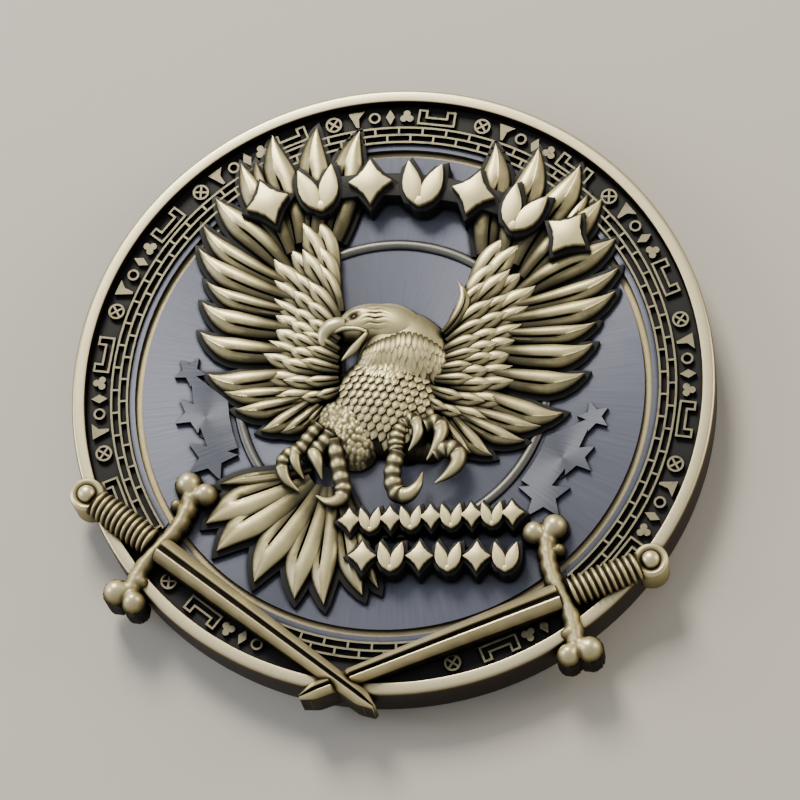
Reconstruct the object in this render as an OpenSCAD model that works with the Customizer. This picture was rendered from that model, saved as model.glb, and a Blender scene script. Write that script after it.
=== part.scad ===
// Round challenge coin with an eagle in high relief, a brick and fret border,
// and two crossed swords whose ends stand past the rim.
// Origin: centre of the coin on the plane it rests on. +Z comes out of the
// eagle side, +Y points to the top of the design.

/* [Blank] */
// Diameter of the round blank over its rims
coin_d = 50; // [44:1:64]
// Thickness of the blank from rim face to rim face
coin_t = 4; // [3.8:0.1:6]
// Width of the bright rim on the eagle side
rim_w = 1; // [0.8:0.1:1.2]
// Depth of the recess inside the rim on the eagle side
front_depth = 1.4; // [1.2:0.05:1.6]
// Depth of the recess inside the rim on the back
back_depth = 0.8; // [0.7:0.05:1]
// Chamfer along the outer corners of the rims
rim_chamfer = 0.2; // [0.1:0.05:0.3]

/* [Field] */
// Thickness of the field plate, centre disc and plain floor of the border
plate_t = 0.4; // [0.3:0.05:0.5]
// Outer diameter of the satin field plate
field_d = 39.2; // [38:0.1:39.6]
// Middle diameter of the thin raised ring round the centre disc
ring_d = 24; // [22:0.5:26]
// Width of that raised ring
ring_w = 0.7; // [0.4:0.1:1]
// Height of the raised ring above the field
ring_h = 0.3; // [0.15:0.05:0.35]

/* [Border] */
// Repeats of the border pattern round the coin
border_units = 12; // [8:1:16]
// Width of the raised joints of the brickwork and of the fret lines
joint_w = 0.16; // [0.12:0.02:0.22]
// Bricks in one repeat of the border
bricks = 6; // [4:1:8]
// Depth of the two courses of bricks, measured across the ring
brick_band = 1.4; // [1.2:0.1:1.6]
// Depth of the band of marks outside the bricks
mark_band = 1.3; // [1:0.1:1.5]
// Width of the smooth ring between the bricks and the field
step_w = 0.5; // [0.4:0.05:0.6]

/* [Wings] */
// Large feathers in one wing
feather_count = 16; // [12:1:18]
// Reach of the longest feather from the shoulder
feather_long = 19; // [16:0.25:19.2]
// Reach of the shortest feather from the shoulder
feather_short = 9; // [8:0.25:9.8]
// Height of the ridge of a large feather above its plate
feather_h = 0.7; // [0.4:0.05:0.9]
// Thickness of the dark contour plates and height of the border pattern
contour_t = 0.4; // [0.3:0.05:0.5]
// Step by which a contour plate shows round the feathers
contour_step = 0.45; // [0.2:0.05:0.6]
// Small feathers in one row of coverts
covert_count = 10; // [7:1:12]
// Height of one row of coverts above the row outside it
covert_rise = 0.35; // [0.2:0.05:0.4]

/* [Eagle] */
// Radius of the breast in plan
breast_r = 4.3; // [3.8:0.1:4.6]
// Height of the breast above the field
breast_h = 2.4; // [1.6:0.1:2.8]
// Radius of the head in plan
head_r = 2.3; // [2:0.1:2.4]
// Height of the head above the field
head_h = 2.2; // [1.6:0.1:2.8]
// Thickness of a toe
toe_w = 0.95; // [0.7:0.05:1.1]
// Tail feathers
tail_count = 8; // [6:1:9]
// Length of the tail from its root
tail_len = 11.5; // [10:0.25:12]

/* [Ornament rows] */
// Height of the ornaments in the arched row
title_size = 3.8; // [3:0.1:4.2]
// Height of their polished tops above their dark plate
title_rise = 0.6; // [0.3:0.05:0.8]
// Height of the small ornaments in the upper straight row
upper_size = 2; // [1.4:0.1:2.3]
// Height of the ornaments in the lower straight row
lower_size = 2.4; // [1.6:0.1:2.6]

/* [Swords] */
// Length of a sword from pommel to tip
sword_len = 29.6; // [28:0.2:30.6]
// Width of the blade at the guard
blade_w = 2.1; // [1.7:0.1:2.4]
// Width of the blade at its tip as a share of the width at the guard
blade_taper = 0.6; // [0.5:0.05:1]
// Height of the ridge of the blade above the rim
blade_h = 1.2; // [0.8:0.1:1.6]
// Angle of a sword to the horizontal of the design
sword_tilt = 29.4; // [28.6:0.2:30]
// Diameter of the wire-wrapped grip
grip_d = 2.3; // [1.8:0.1:2.6]
// Turns of wire on the grip
grip_turns = 11; // [7:1:14]
// Length of the crossguard from knob to knob
guard_len = 10; // [8.5:0.25:10.5]
// Diameter of the bar of the crossguard
guard_d = 1.25; // [1:0.05:1.5]

/* [Fits] */
// Diameter of the integral pegs that hold the pieces to the blank
peg_d = 0.9; // [0.7:0.05:1.1]
// How far a peg reaches into the blank
peg_reach = 0.8; // [0.5:0.05:0.9]
// Clearance round a peg and between pieces laid side by side
fit_gap = 0.05; // [0.03:0.01:0.08]

/* [Hidden] */
$fn = 64;
// Plan scale: every place and plan size below is drawn for a 50 mm blank
u = coin_d / 50;
e = 0.01;
rim_r = coin_d / 2;
recess_r = rim_r - rim_w * u;
z_back = back_depth;
z_floor = coin_t - front_depth;
z_field = z_floor + plate_t;
z_wing = z_field + contour_t;
z_rim = coin_t;
field_r = field_d / 2 * u;
ring_r = ring_d / 2 * u;
ring_half = ring_w / 2 * u;
peg_r = peg_d / 2;
hole_r = peg_r + fit_gap;
hole_z = z_floor - peg_reach - 2 * fit_gap;

function polar(r, a) = [r * cos(a), r * sin(a)];
function mirror_x(p, side) = [side * p[0], p[1]];

/* ---- where the swords lie ---- */
// Sword frame: X runs from the pommel to the tip, the left sword is drawn
pommel_at = [-22.6, -11.5];
pommel_len = 1.7;
grip_len = 5.5;
guard_pos = pommel_len + grip_len;
blade_pos = guard_pos + guard_d;
knob_d = 1.7 * guard_d;
guard_bow = 14;
guard_turn = 6;
guard_shift = 0.45;
lap_h = 0.3;

// Peg places on a sword: distance from the pommel, distance to the side
blade_pegs = [[11, 0], [20, 0]];
guard_pegs = [[7.5, 3.6]];
grip_pegs = [[5, 0], [6.4, 0]];
pommel_peg = 0.2;
function on_sword(side, p) = let (c = cos(sword_tilt), s = sin(sword_tilt))
    [-side * (pommel_at[0] + p[0] * c + p[1] * s), pommel_at[1] - p[0] * s + p[1] * c];
function sword_sites(side, list) = [for (p = list) on_sword(side, p)];

/* ---- pegs ---- */
wing_peg_sites = [[13, 5], [12, 9.5], [10.8, 1.6]];
covert_peg_sites = [[7.6, 7.4], [7.6, 1.2]];
tail_peg_sites = [[-6.4, -12.4], [-3.6, -12.6]];
title_peg_sites = [[-2.2, 16.6], [2.2, 16.6]];
star_peg_sites = [[13.9, -5.4], [12.6, -7.4]];
body_peg_sites = [[-1.6, -2], [-1.4, 1.2]];
thigh_peg_sites = [[-4.7, -3.4]];
neck_peg_sites = [[1.6, 4.4]];
head_peg_sites = [[-3.2, 3.6]];
upper_peg_sites = [[8.2, -10.3], [10.6, -9.8]];
lower_peg_sites = [[5, -13.8], [9.6, -13.2]];
foot_peg_sites = [[1.3, -6.6], [4.5, -4.4]];
left_foot_peg_sites = [[-3.7, -6.6]];
function both(sites) = [for (s = [-1, 1], p = sites) mirror_x(p, s)];
front_sites = concat(both(wing_peg_sites), both(covert_peg_sites), tail_peg_sites,
    title_peg_sites, both(star_peg_sites), body_peg_sites, thigh_peg_sites, neck_peg_sites,
    head_peg_sites, upper_peg_sites,
    lower_peg_sites, foot_peg_sites, left_foot_peg_sites,
    [for (side = [-1, 1], list = [blade_pegs, guard_pegs, grip_pegs])
        each sword_sites(side, list)]);

module pegs(sites, z) {
    for (p = sites)
        translate([p[0] * u, p[1] * u, z_floor - peg_reach])
            cylinder(r = peg_r, h = z - z_floor + peg_reach, $fn = 24);
}

module peg_holes(sites, z0, z1) {
    for (p = sites)
        translate([p[0] * u, p[1] * u, z0])
            cylinder(r = hole_r, h = z1 - z0, $fn = 24);
}

module washer(r_out, r_in, z0, z1) {
    rotate_extrude($fn = 180)
        translate([r_in, z0])
            square([r_out - r_in, z1 - z0]);
}

module disc(r, z0, z1) {
    translate([0, 0, z0])
        cylinder(r = r, h = z1 - z0, $fn = 120);
}

// Section of a toe: upright sides under a chamfered ridge
module toe_section(w, z0, z1) {
    polygon([[-w / 2, z0], [w / 2, z0], [w / 2, z1 - 0.5 * w], [0.36 * w, z1 - 0.15 * w],
        [0.15 * w, z1], [-0.15 * w, z1], [-0.36 * w, z1 - 0.15 * w], [-w / 2, z1 - 0.5 * w]]);
}

// A bar bent on an arc
module arc_bar(r, a0, a1, w, z0, z1) {
    rotate([0, 0, a0])
        rotate_extrude(angle = a1 - a0)
            translate([r, 0])
                toe_section(w, z0, z1);
}

// A straight bar along X
module straight_bar(len, w, z0, z1) {
    rotate([90, 0, 90])
        linear_extrude(len)
            toe_section(w, z0, z1);
}

/* ---- swords ---- */
module lug_pegs(side) {
    p = on_sword(side, [pommel_peg, 0]) * u;
    translate([p[0], p[1], z_rim - peg_reach])
        cylinder(r = peg_r, h = peg_reach + 0.1, $fn = 24);
}

module lug_holes() {
    for (side = [-1, 1])
        let (p = on_sword(side, [pommel_peg, 0]) * u)
            translate([p[0], p[1], z_rim - peg_reach - 2 * fit_gap])
                cylinder(r = hole_r, h = peg_reach + 1, $fn = 24);
}

module sword_frame(side) {
    mirror([side > 0 ? 1 : 0, 0, 0])
        translate([pommel_at[0] * u, pommel_at[1] * u, 0])
            rotate([0, 0, -sword_tilt])
                children();
}

module blade_outline(grow) {
    tip = sword_len * u;
    half = blade_w / 2 * u + grow;
    end = blade_taper * blade_w / 2 * u + grow;
    polygon([[blade_pos * u - grow, -half], [tip - 1.6 * end, -end],
        [tip + grow, 0.1 * end], [tip - 0.7 * end, end],
        [blade_pos * u - grow, half]]);
}

module pommel_outline(grow) {
    translate([pommel_len / 2 * u, 0])
        circle(r = 1.35 * u + grow, $fn = 48);
}

module guard_frame() {
    translate([(guard_pos + guard_d / 2) * u, guard_shift * u, 0])
        rotate([0, 0, guard_turn])
            children();
}

// Each end of the guard has a large and a small lobe
lobes = [[-0.34, 0.5, 0.3], [0.42, 0.43, 0.18]];

module knob_frame(lobe) {
    for (s = [-1, 1])
        translate([0, s * guard_len / 2 * u, 0])
            rotate([0, 0, s * guard_bow])
                translate([-s * lobe[0] * knob_d * u, -s * knob_d * 0.3 * u, 0])
                    children();
}

module guard_outline(grow) {
    guard_frame() {
        translate([-guard_d / 2 * u - grow, -guard_len / 2 * u])
            square([guard_d * u + 2 * grow, guard_len * u]);
        for (lobe = lobes)
            knob_frame(lobe)
                circle(r = lobe[1] * knob_d * u + grow, $fn = 40);
    }
}

module sword_outline(grow) {
    blade_outline(grow);
    pommel_outline(grow);
    guard_outline(grow);
}

// The lowest part of a sword piece reaches the floor inside the rim and
// rests on the rim and its lugs outside it
module seated(top) {
    intersection() {
        children();
        union() {
            disc(recess_r - fit_gap, z_field, top + 1);
            translate([0, 0, z_rim])
                cylinder(r = rim_r * 1.4, h = top + 1 - z_rim);
        }
    }
}

module sword_cut(side, grow, z0, z1) {
    sword_frame(side)
        translate([0, 0, z0])
            linear_extrude(z1 - z0)
                blade_outline(grow);
}

module grip_prism(side, grow, z0, z1) {
    sword_frame(side)
        translate([pommel_len * u - grow, -grip_d / 2 * u - grow, z0])
            cube([(grip_len + guard_d) * u + 2 * grow, grip_d * u + 2 * grow, z1 - z0]);
}

module guard_prism(side, grow, z0, z1) {
    sword_frame(side)
        translate([0, 0, z0])
            linear_extrude(z1 - z0)
                guard_outline(grow);
}

module sword_room(z0, z1) {
    for (side = [-1, 1]) {
        sword_cut(side, fit_gap, z0, z1);
        grip_prism(side, fit_gap, z0, z1);
        guard_prism(side, fit_gap, z0, z1);
    }
}

module blade_body(side) {
    half = blade_w / 2 * u;
    top = z_rim + blade_h;
    edge = z_rim + 0.45 * blade_h;
    groove = 0.14 * blade_h;
    sword_frame(side)
        intersection() {
            rotate([90, 0, 90])
                linear_extrude((sword_len + 1) * u)
                    polygon([[-half, z_field], [half, z_field], [half, edge],
                        [0.42 * half, top], [0.14 * half, top - groove],
                        [-0.14 * half, top - groove], [-0.42 * half, top], [-half, edge]]);
            translate([0, 0, z_floor - 1])
                linear_extrude(top - z_floor + 2)
                    blade_outline(0);
        }
}

// The blades cross in a halved joint: the left one lies over the right one
module left_blade() {
    color("#C9BE8C") {
        difference() {
            seated(z_rim + blade_h)
                blade_body(-1);
            sword_cut(1, fit_gap, z_field - 1, z_rim + lap_h + fit_gap);
        }
        pegs(sword_sites(-1, blade_pegs), z_field + 0.1);
    }
}

module right_blade() {
    color("#C9BE8C") {
        difference() {
            seated(z_rim + blade_h)
                blade_body(1);
            sword_cut(-1, fit_gap, z_rim + lap_h, z_rim + blade_h + 1);
        }
        pegs(sword_sites(1, blade_pegs), z_field + 0.1);
    }
}

// Section of the guard bar: upright sides under a rounded ridge
module bar_section(r) {
    polygon(concat([[r, z_field], [-r, z_field]],
        [for (a = [180:-22.5:0]) [r * cos(a), z_rim + r * sin(a)]]));
}

// An upright post with a chamfered head
module post(r, z0, z1) {
    rotate_extrude($fn = 48)
        polygon([[0, z0], [r, z0], [r, z1], [0.86 * r, z1 + 0.5 * r], [0.5 * r, z1 + 0.8 * r],
            [0, z1 + 0.8 * r]]);
}

module guard_piece(side) {
    top = z_rim + blade_h;
    seated(top + 1)
        sword_frame(side) {
            guard_frame() {
                translate([0, -0.46 * guard_len * u, 0])
                    rotate([90, 0, 180])
                        linear_extrude(0.92 * guard_len * u)
                            bar_section(guard_d / 2 * u);
                for (lobe = lobes)
                    knob_frame(lobe)
                        post(lobe[1] * knob_d * u, z_field, z_rim + lobe[2] * blade_h);
            }
        }
}

module grip_piece(side) {
    len = (grip_len - 2 * fit_gap) * u;
    pitch = len / grip_turns;
    r = grip_d / 2 * u;
    seated(z_rim + r)
        sword_frame(side) {
            translate([pommel_len * u + fit_gap, -r * 0.86, z_field])
                cube([len, 1.72 * r, z_rim + e - z_field]);
            translate([pommel_len * u + fit_gap, 0, z_rim])
                rotate([90, 0, 90])
                    rotate_extrude($fn = 48)
                        polygon(concat([[0, 0]], [for (i = [0:grip_turns - 1], k = [0, 1])
                            [r * (k == 0 ? 0.9 : 1), (i + k / 2) * pitch]],
                            [[r * 0.9, len], [0, len]]));
        }
}

module pommel_piece(side) {
    seated(z_rim + 2)
        sword_frame(side) {
            translate([0, 0, z_field])
                linear_extrude(z_rim + 0.5 * blade_h - z_field)
                    intersection() {
                        pommel_outline(0);
                        translate([-2 * u, -2 * u])
                            square([(pommel_len + 2) * u - fit_gap, 4 * u]);
                    }
            translate([pommel_len / 2 * u, 0, z_rim + 0.5 * blade_h])
                cylinder(d1 = 1.6 * u, d2 = 1.1 * u, h = 0.5 * blade_h, $fn = 40);
        }
}

module left_guard() {
    color("#D8D0A6") {
        difference() {
            guard_piece(-1);
            sword_cut(-1, fit_gap, z_floor - 1, z_rim + 4);
            grip_clear(-1);
        }
        pegs(sword_sites(-1, guard_pegs), z_field + 0.1);
    }
}

module right_guard() {
    color("#D8D0A6") {
        difference() {
            guard_piece(1);
            sword_cut(1, fit_gap, z_floor - 1, z_rim + 4);
            grip_clear(1);
        }
        pegs(sword_sites(1, guard_pegs), z_field + 0.1);
    }
}

module grip_clear(side) {
    sword_frame(side)
        translate([pommel_len * u, -grip_d * u, z_floor - 1])
            cube([grip_len * u, 2 * grip_d * u, 8]);
}

module left_grip() {
    color("#B3A878") {
        grip_piece(-1);
        pegs(sword_sites(-1, grip_pegs), z_field + 0.1);
    }
}

module right_grip() {
    color("#B3A878") {
        grip_piece(1);
        pegs(sword_sites(1, grip_pegs), z_field + 0.1);
    }
}

module left_pommel() {
    color("#D8D0A6") {
        pommel_piece(-1);
        lug_pegs(-1);
    }
}

module right_pommel() {
    color("#D8D0A6") {
        pommel_piece(1);
        lug_pegs(1);
    }
}

/* ---- blank ---- */
module lugs() {
    for (side = [-1, 1])
        sword_frame(side)
            translate([0, 0, z_back])
                linear_extrude(z_rim - z_back)
                    sword_outline(-0.1 * u);
}

module coin_body() {
    color("#C9BE8C")
        difference() {
            union() {
                rotate_extrude($fn = 120)
                    polygon([[0, z_back], [recess_r, z_back], [recess_r, 0],
                        [rim_r - rim_chamfer, 0], [rim_r, rim_chamfer],
                        [rim_r, z_rim - rim_chamfer], [rim_r - rim_chamfer, z_rim],
                        [recess_r, z_rim], [recess_r, z_floor], [0, z_floor]]);
                difference() {
                    lugs();
                    disc(rim_r - 0.5 * rim_chamfer, z_back - 1, z_rim + 1);
                }
            }
            peg_holes(front_sites, hole_z, z_floor + 1);
            lug_holes();
            back_holes(concat(back_peg_sites, back_border_sites));
        }
}

module field_plate() {
    color("#59607A")
        difference() {
            washer(field_r - fit_gap, ring_r + ring_half + fit_gap, z_floor, z_field);
            peg_holes(front_sites, z_floor - 1, z_field + 1);
        }
}

module centre_disc() {
    color("#666E88")
        difference() {
            disc(ring_r - ring_half - fit_gap, z_floor, z_field);
            peg_holes(front_sites, z_floor - 1, z_field + 1);
        }
}

module centre_ring() {
    color("#8A8F93")
        difference() {
            washer(ring_r + ring_half, ring_r - ring_half, z_floor, z_field + ring_h);
            translate([0, 0, z_field])
                linear_extrude(ring_h + 1) {
                    for (side = [-1, 1])
                        wing_side(side) {
                            feather_shapes((contour_step + fit_gap) * u);
                            hub_shape(backing_share + 0.01);
                        }
                    tail_shapes((contour_step + fit_gap) * u);
                    upper_row_plan(fit_gap);
                    lower_row_plan(fit_gap);
                }
        }
}

/* ---- border ---- */
band_out = recess_r - fit_gap;
mark_r = recess_r - 0.45 * u - mark_band / 2 * u;
brick_out = mark_r - mark_band / 2 * u - 0.2 * u;
brick_in = brick_out - brick_band * u;
step_in = brick_in - step_w * u;
z_mark = z_wing;

module border_ring() {
    color("#2C2B28")
        difference() {
            washer(band_out, brick_in, z_floor, z_field);
            peg_holes(front_sites, z_floor - 1, z_field + 1);
        }
}

module step_ring() {
    color("#7A7F88")
        difference() {
            washer(brick_in - fit_gap, step_in, z_floor, z_field + 0.1);
            peg_holes(front_sites, z_floor - 1, z_field + 1);
            sword_room(z_field, z_mark + 1);
        }
}

module brick_course() {
    lw = joint_w * u;
    color("#B8B088")
        difference() {
            union() {
                for (r = [brick_in, (brick_in + brick_out - lw) / 2, brick_out - lw])
                    washer(r + lw, r, z_field, z_mark);
                for (row = [0, 1], i = [0:border_units * bricks - 1])
                    rotate([0, 0, 90 + (i + row / 2) * 360 / border_units / bricks])
                        translate([row == 0 ? brick_in + lw / 2 : (brick_in + brick_out) / 2,
                            -lw / 2, z_field])
                            cube([(brick_out - brick_in) / 2 - lw / 2, lw, contour_t]);
            }
            sword_room(z_field - 1, z_mark + 1);
        }
}

// True where the middle of a mark is clear of the swords
function unit_angle(i, off) = 90 - off * 360 / border_units - i * 360 / border_units;
function sword_dist(p) = let (q = [-abs(p[0]), p[1]] - pommel_at * u)
    abs(q[0] * sin(sword_tilt) + q[1] * cos(sword_tilt));
function along_sword(p) = let (q = [-abs(p[0]), p[1]] - pommel_at * u)
    q[0] * cos(sword_tilt) - q[1] * sin(sword_tilt);
function is_clear(a, half) = let (p = polar(mark_r, a))
    p[1] > -8 * u || (sword_dist(p) > (0.5 * blade_w + 0.15 * mark_band) * u
    && abs(along_sword(p) - guard_pos * u) > half + 1.2 * guard_d * u);

module mark_places(off, half) {
    difference() {
        for (i = [0:border_units - 1])
            if (is_clear(unit_angle(i, off), half))
                rotate([0, 0, unit_angle(i, off) - 90])
                    translate([0, mark_r, z_field])
                        children();
        sword_room(z_field - 1, z_mark + 1);
    }
}

module border_roundels() {
    r = mark_band / 2 * u;
    color("#B8B088")
        mark_places(0.31, r)
            linear_extrude(contour_t) {
                difference() {
                    circle(r = r, $fn = 72);
                    circle(r = r - joint_w * u, $fn = 72);
                }
                for (a = [45:90:315])
                    rotate([0, 0, a])
                        translate([0, -joint_w / 2 * u])
                            square([r - e, joint_w * u]);
            }
}

function key_edge(h, w, g) = [[-w + g, -h + g], [w - g, -h + g], [w - g, h - g],
    [w / 2 + g, h - g], [w / 2 + g, 0.1 * h - g], [-w / 2 - g, 0.1 * h - g],
    [-w / 2 - g, h - g], [-w + g, h - g]];

module border_keys() {
    h = mark_band / 2 * u;
    w = 1.5 * u;
    color("#B8B088")
        mark_places(0, w)
            linear_extrude(contour_t)
                difference() {
                    polygon(key_edge(h, w, 0));
                    polygon(key_edge(h, w, joint_w * u));
                }
}

module border_marks() {
    h = mark_band / 2 * u;
    t = joint_w * u;
    color("#B8B088") {
        mark_places(0.47, h)
            linear_extrude(contour_t)
                polygon([[-h, h], [h, h], [0.2 * h, 0.2 * h], [0.1 * h, -h], [-0.2 * h, -h]]);
        mark_places(0.585, h)
            linear_extrude(contour_t)
                difference() {
                    circle(r = 0.72 * h, $fn = 72);
                    circle(r = 0.72 * h - t, $fn = 72);
                }
        mark_places(0.69, h)
            linear_extrude(contour_t)
                polygon([[0, h], [0.55 * h, 0], [0, -h], [-0.55 * h, 0]]);
        mark_places(0.8, h)
            linear_extrude(contour_t)
                for (a = [90:120:330])
                    translate(polar(0.45 * h, a))
                        circle(r = 0.42 * h, $fn = 20);
    }
}

/* ---- feathers ---- */
// One feather: a ridged blade along a bent middle line
stations = 6;
function bend(p0, p1, b, t) = let (d = p1 - p0)
    p0 + d * t + [-d[1], d[0]] * (b * 4 * t * (1 - t));
function girth(t) = t < 0.55 ? 0.6 + 0.4 * sin(90 * t / 0.55)
    : max(0.06, 1 - pow((t - 0.55) / 0.45, 1.7));
function side_of(p0, p1, b, t) = let (d = bend(p0, p1, b, t + 0.02) - bend(p0, p1, b, t - 0.02),
    n = norm(d)) [-d[1], d[0]] / n;

function feather_edge(p0, p1, b, w, g) = concat(
    [for (i = [0:stations]) let (t = i / stations)
        bend(p0, p1, b, t) - side_of(p0, p1, b, t) * (w * girth(t) + g)],
    g > 0 ? [bend(p0, p1, b, 1 + g / norm(p1 - p0))] : [],
    [for (i = [stations:-1:0]) let (t = i / stations)
        bend(p0, p1, b, t) + side_of(p0, p1, b, t) * (w * girth(t) + g)]);

module feather(p0, p1, b, w, z0, h) {
    rim = 0.4 * h;
    pts = [for (i = [0:stations]) let (t = i / stations, c = bend(p0, p1, b, t),
        n = side_of(p0, p1, b, t) * w * girth(t), top = h * (0.55 + 0.45 * sin(150 * t + 20)))
        each [[c[0] - n[0], c[1] - n[1], z0], [c[0] - n[0], c[1] - n[1], z0 + rim],
            [c[0], c[1], z0 + top], [c[0] + n[0], c[1] + n[1], z0 + rim],
            [c[0] + n[0], c[1] + n[1], z0]]];
    m = 5;
    polyhedron(pts, concat(
        [[for (k = [m - 1:-1:0]) k]],
        [[for (k = [0:m - 1]) stations * m + k]],
        [for (i = [0:stations - 1], k = [0:m - 1])
            let (a = i * m + k, c = i * m + (k + 1) % m) [a, c, c + m]],
        [for (i = [0:stations - 1], k = [0:m - 1])
            let (a = i * m + k, c = i * m + (k + 1) % m) [a, c + m, a + m]]));
}

/* ---- wings: drawn for the left side, mirrored for the right ---- */
shoulder = [-4.6, 2.8];
fan_start = 90;
fan_end = 248;
fan_mid = 144;
fan_soft = 13;
lean = 12;
root_share = 0.56;
backing_share = root_share + 0.04;
function fan_angle(t) = fan_start + (fan_end - fan_start) * t;
function reach(a) = u * (feather_short
    + (feather_long - feather_short) / (1 + exp((a - fan_mid) / fan_soft)));
function wing_point(t, s) = let (a = fan_angle(t))
    shoulder * u + polar(reach(a) * s,
    a + lean * cos(2.6 * (a - fan_start)) * min(1, (1 - s) / (1 - root_share)));
function wing_width(n, t) = 0.4 * reach(fan_angle(t)) * 0.78 * (fan_end - fan_start) / n * PI / 180;

module wing_side(side) {
    mirror([side > 0 ? 1 : 0, 0, 0])
        children();
}

module feather_shapes(g) {
    n = feather_count;
    for (i = [0:n - 1])
        let (t = i / (n - 1))
            polygon(feather_edge(wing_point(t, root_share), wing_point(t, 1), 0.06,
                wing_width(n, t), g));
}

module hub_shape(s) {
    polygon(concat([for (i = [0:20]) wing_point(i / 20, s)],
        [[-2, -3] * u, [-2, 4.4] * u]));
}

module body_room(g, z0, z1) {
    translate([0, 0, z0])
        linear_extrude(z1 - z0)
            eagle_plan(g);
}

module wing_backing(side) {
    difference() {
        wing_side(side)
            intersection() {
                translate([0, 0, z_field])
                    linear_extrude(contour_t) {
                        feather_shapes(contour_step * u);
                        hub_shape(backing_share);
                    }
                disc(field_r - fit_gap, z_field - 1, z_wing + 1);
            }
        body_room(fit_gap, z_field - 1, z_wing + 1);
        peg_holes(front_sites, z_field - 1, z_wing + 1);
    }
}

module outer_feathers(side) {
    n = feather_count;
    base = 0.25;
    difference() {
        wing_side(side) {
            translate([0, 0, z_wing])
                linear_extrude(base) {
                    feather_shapes(0.1 * u);
                    polygon(concat([for (i = [0:20]) wing_point(i / 20, root_share + 0.02)],
                        [for (i = [20:-1:0]) wing_point(i / 20, root_share + 0.12)]));
                }
            for (i = [0:n - 1])
                let (t = i / (n - 1))
                    feather(wing_point(t, root_share + 0.03), wing_point(t, 1), 0.06,
                        wing_width(n, t), z_wing + base - 0.1, feather_h);
        }
        body_room(fit_gap, z_wing - 1, z_wing + 3);
    }
    pegs([for (p = wing_peg_sites) mirror_x(p, side)], z_wing + 0.1);
}

module coverts(side) {
    base = 0.25;
    shares = [0.54, 0.4, 0.27, 0.15];
    difference() {
        wing_side(side)
            for (row = [0:2]) {
                translate([0, 0, z_wing])
                    linear_extrude(base + row * covert_rise)
                        hub_shape(shares[row] - 0.02);
                for (i = [0:covert_count - 1])
                    let (t = (i + 0.5 * (row % 2)) / (covert_count - 0.5))
                        feather(wing_point(t, shares[row + 1] - 0.01), wing_point(t, shares[row]),
                            0.05, wing_width(covert_count, t) * shares[row] * 0.95,
                            z_wing + base + row * covert_rise - 0.1, 0.75 * feather_h);
            }
        body_room(fit_gap, z_wing - 1, z_wing + 3);
    }
    pegs([for (p = covert_peg_sites) mirror_x(p, side)], z_wing + 0.1);
}

module wing_backing_left() {
    color("#2C2B28")
        wing_backing(-1);
}

module wing_backing_right() {
    color("#2C2B28")
        wing_backing(1);
}

module outer_feathers_left() {
    color("#C9BE8C")
        outer_feathers(-1);
}

module outer_feathers_right() {
    color("#C9BE8C")
        outer_feathers(1);
}

module coverts_left() {
    color("#B8B088")
        coverts(-1);
}

module coverts_right() {
    color("#B8B088")
        coverts(1);
}

/* ---- tail ---- */
tail_root = [-3.6, -7];
tail_start = 198;
tail_end = 299;
tail_share = 0.16;
function tail_reach(i) = u * tail_len * (i == 0 ? 0.8 : 0.98);
function tail_angle(i) = tail_start + (tail_end - tail_start) * i / (tail_count - 1);
function tail_point(i, s) = tail_root * u + polar(tail_reach(i) * s, tail_angle(i));
tail_half = 0.36 * tail_len * u * (tail_end - tail_start) / tail_count * PI / 180;

module tail_shapes(g) {
    for (i = [0:tail_count - 1])
        polygon(feather_edge(tail_point(i, tail_share), tail_point(i, 1), 0.04, tail_half, g));
    polygon(concat([for (i = [0:tail_count - 1]) tail_point(i, 0.45)], [tail_point(0, 0)]));
}

module tail_room(z0, z1) {
    translate([0, 0, z0])
        linear_extrude(z1 - z0) {
            eagle_plan(fit_gap);
            sword_frame(-1)
                guard_outline(fit_gap);
            translate(left_foot_peg_sites[0] * u)
                circle(r = ankle_r + fit_gap);
        }
}

module tail_backing() {
    color("#2C2B28")
        difference() {
            translate([0, 0, z_field])
                linear_extrude(contour_t)
                    tail_shapes(contour_step * u);
            tail_room(z_field - 1, z_wing + 1);
            peg_holes(front_sites, z_field - 1, z_wing + 1);
        }
}

module tail_feathers() {
    base = 0.25;
    color("#C9BE8C") {
        difference() {
            union() {
                translate([0, 0, z_wing])
                    linear_extrude(base)
                        tail_shapes(0.1 * u);
                for (i = [0:tail_count - 1])
                    feather(tail_point(i, 0.3), tail_point(i, 1), 0.04, tail_half * 0.96,
                        z_wing + base - 0.1, feather_h);
            }
            tail_room(z_wing - 1, z_wing + 3);
        }
        pegs(tail_peg_sites, z_wing + 0.1);
    }
}

/* ---- eagle ---- */
breast_at = [-0.4, -1.2];
neck_at = [0.9, 2.8];
neck_r = 3.3;
thigh_at = [-3.2, -4];
thigh_r = 2.2;
head_at = [-2.5, 4.6];
beak_at = [-4.6, 3.4];
beak_arc = 1.5;
beak_lift = 0.06;
ankle_r = 0.85;
// Each toe of a foot starts and ends a little off the one before it
toe_stagger = 0.06;

module eagle_plan(g) {
    translate(breast_at * u)
        circle(r = breast_r * u + g);
    translate(neck_at * u)
        circle(r = neck_r * u + g);
    translate(thigh_at * u)
        circle(r = thigh_r * u + g);
    translate(head_at * u)
        circle(r = head_r * u + g);
    translate(beak_at * u)
        circle(r = (beak_arc + toe_w / 2) * u + g);
}

// A round boss with upright sides that ends in a shallow dome
module boss(at, r, z0, wall, h) {
    cap = h - wall;
    sphere_r = (r * r + cap * cap) / (2 * cap);
    translate([at[0], at[1], z0])
        rotate_extrude($fn = 72)
            intersection() {
                square([r, h]);
                translate([0, h - sphere_r])
                    circle(r = sphere_r, $fn = 180);
            }
}

module eagle_body() {
    color("#C9BE8C") {
        difference() {
            union() {
                boss(breast_at * u, breast_r * u, z_field, 0.5 * breast_h, breast_h);
                pegs(body_peg_sites, z_field + 0.1);
            }
            foot_room(fit_gap);
        }
    }
}

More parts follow.
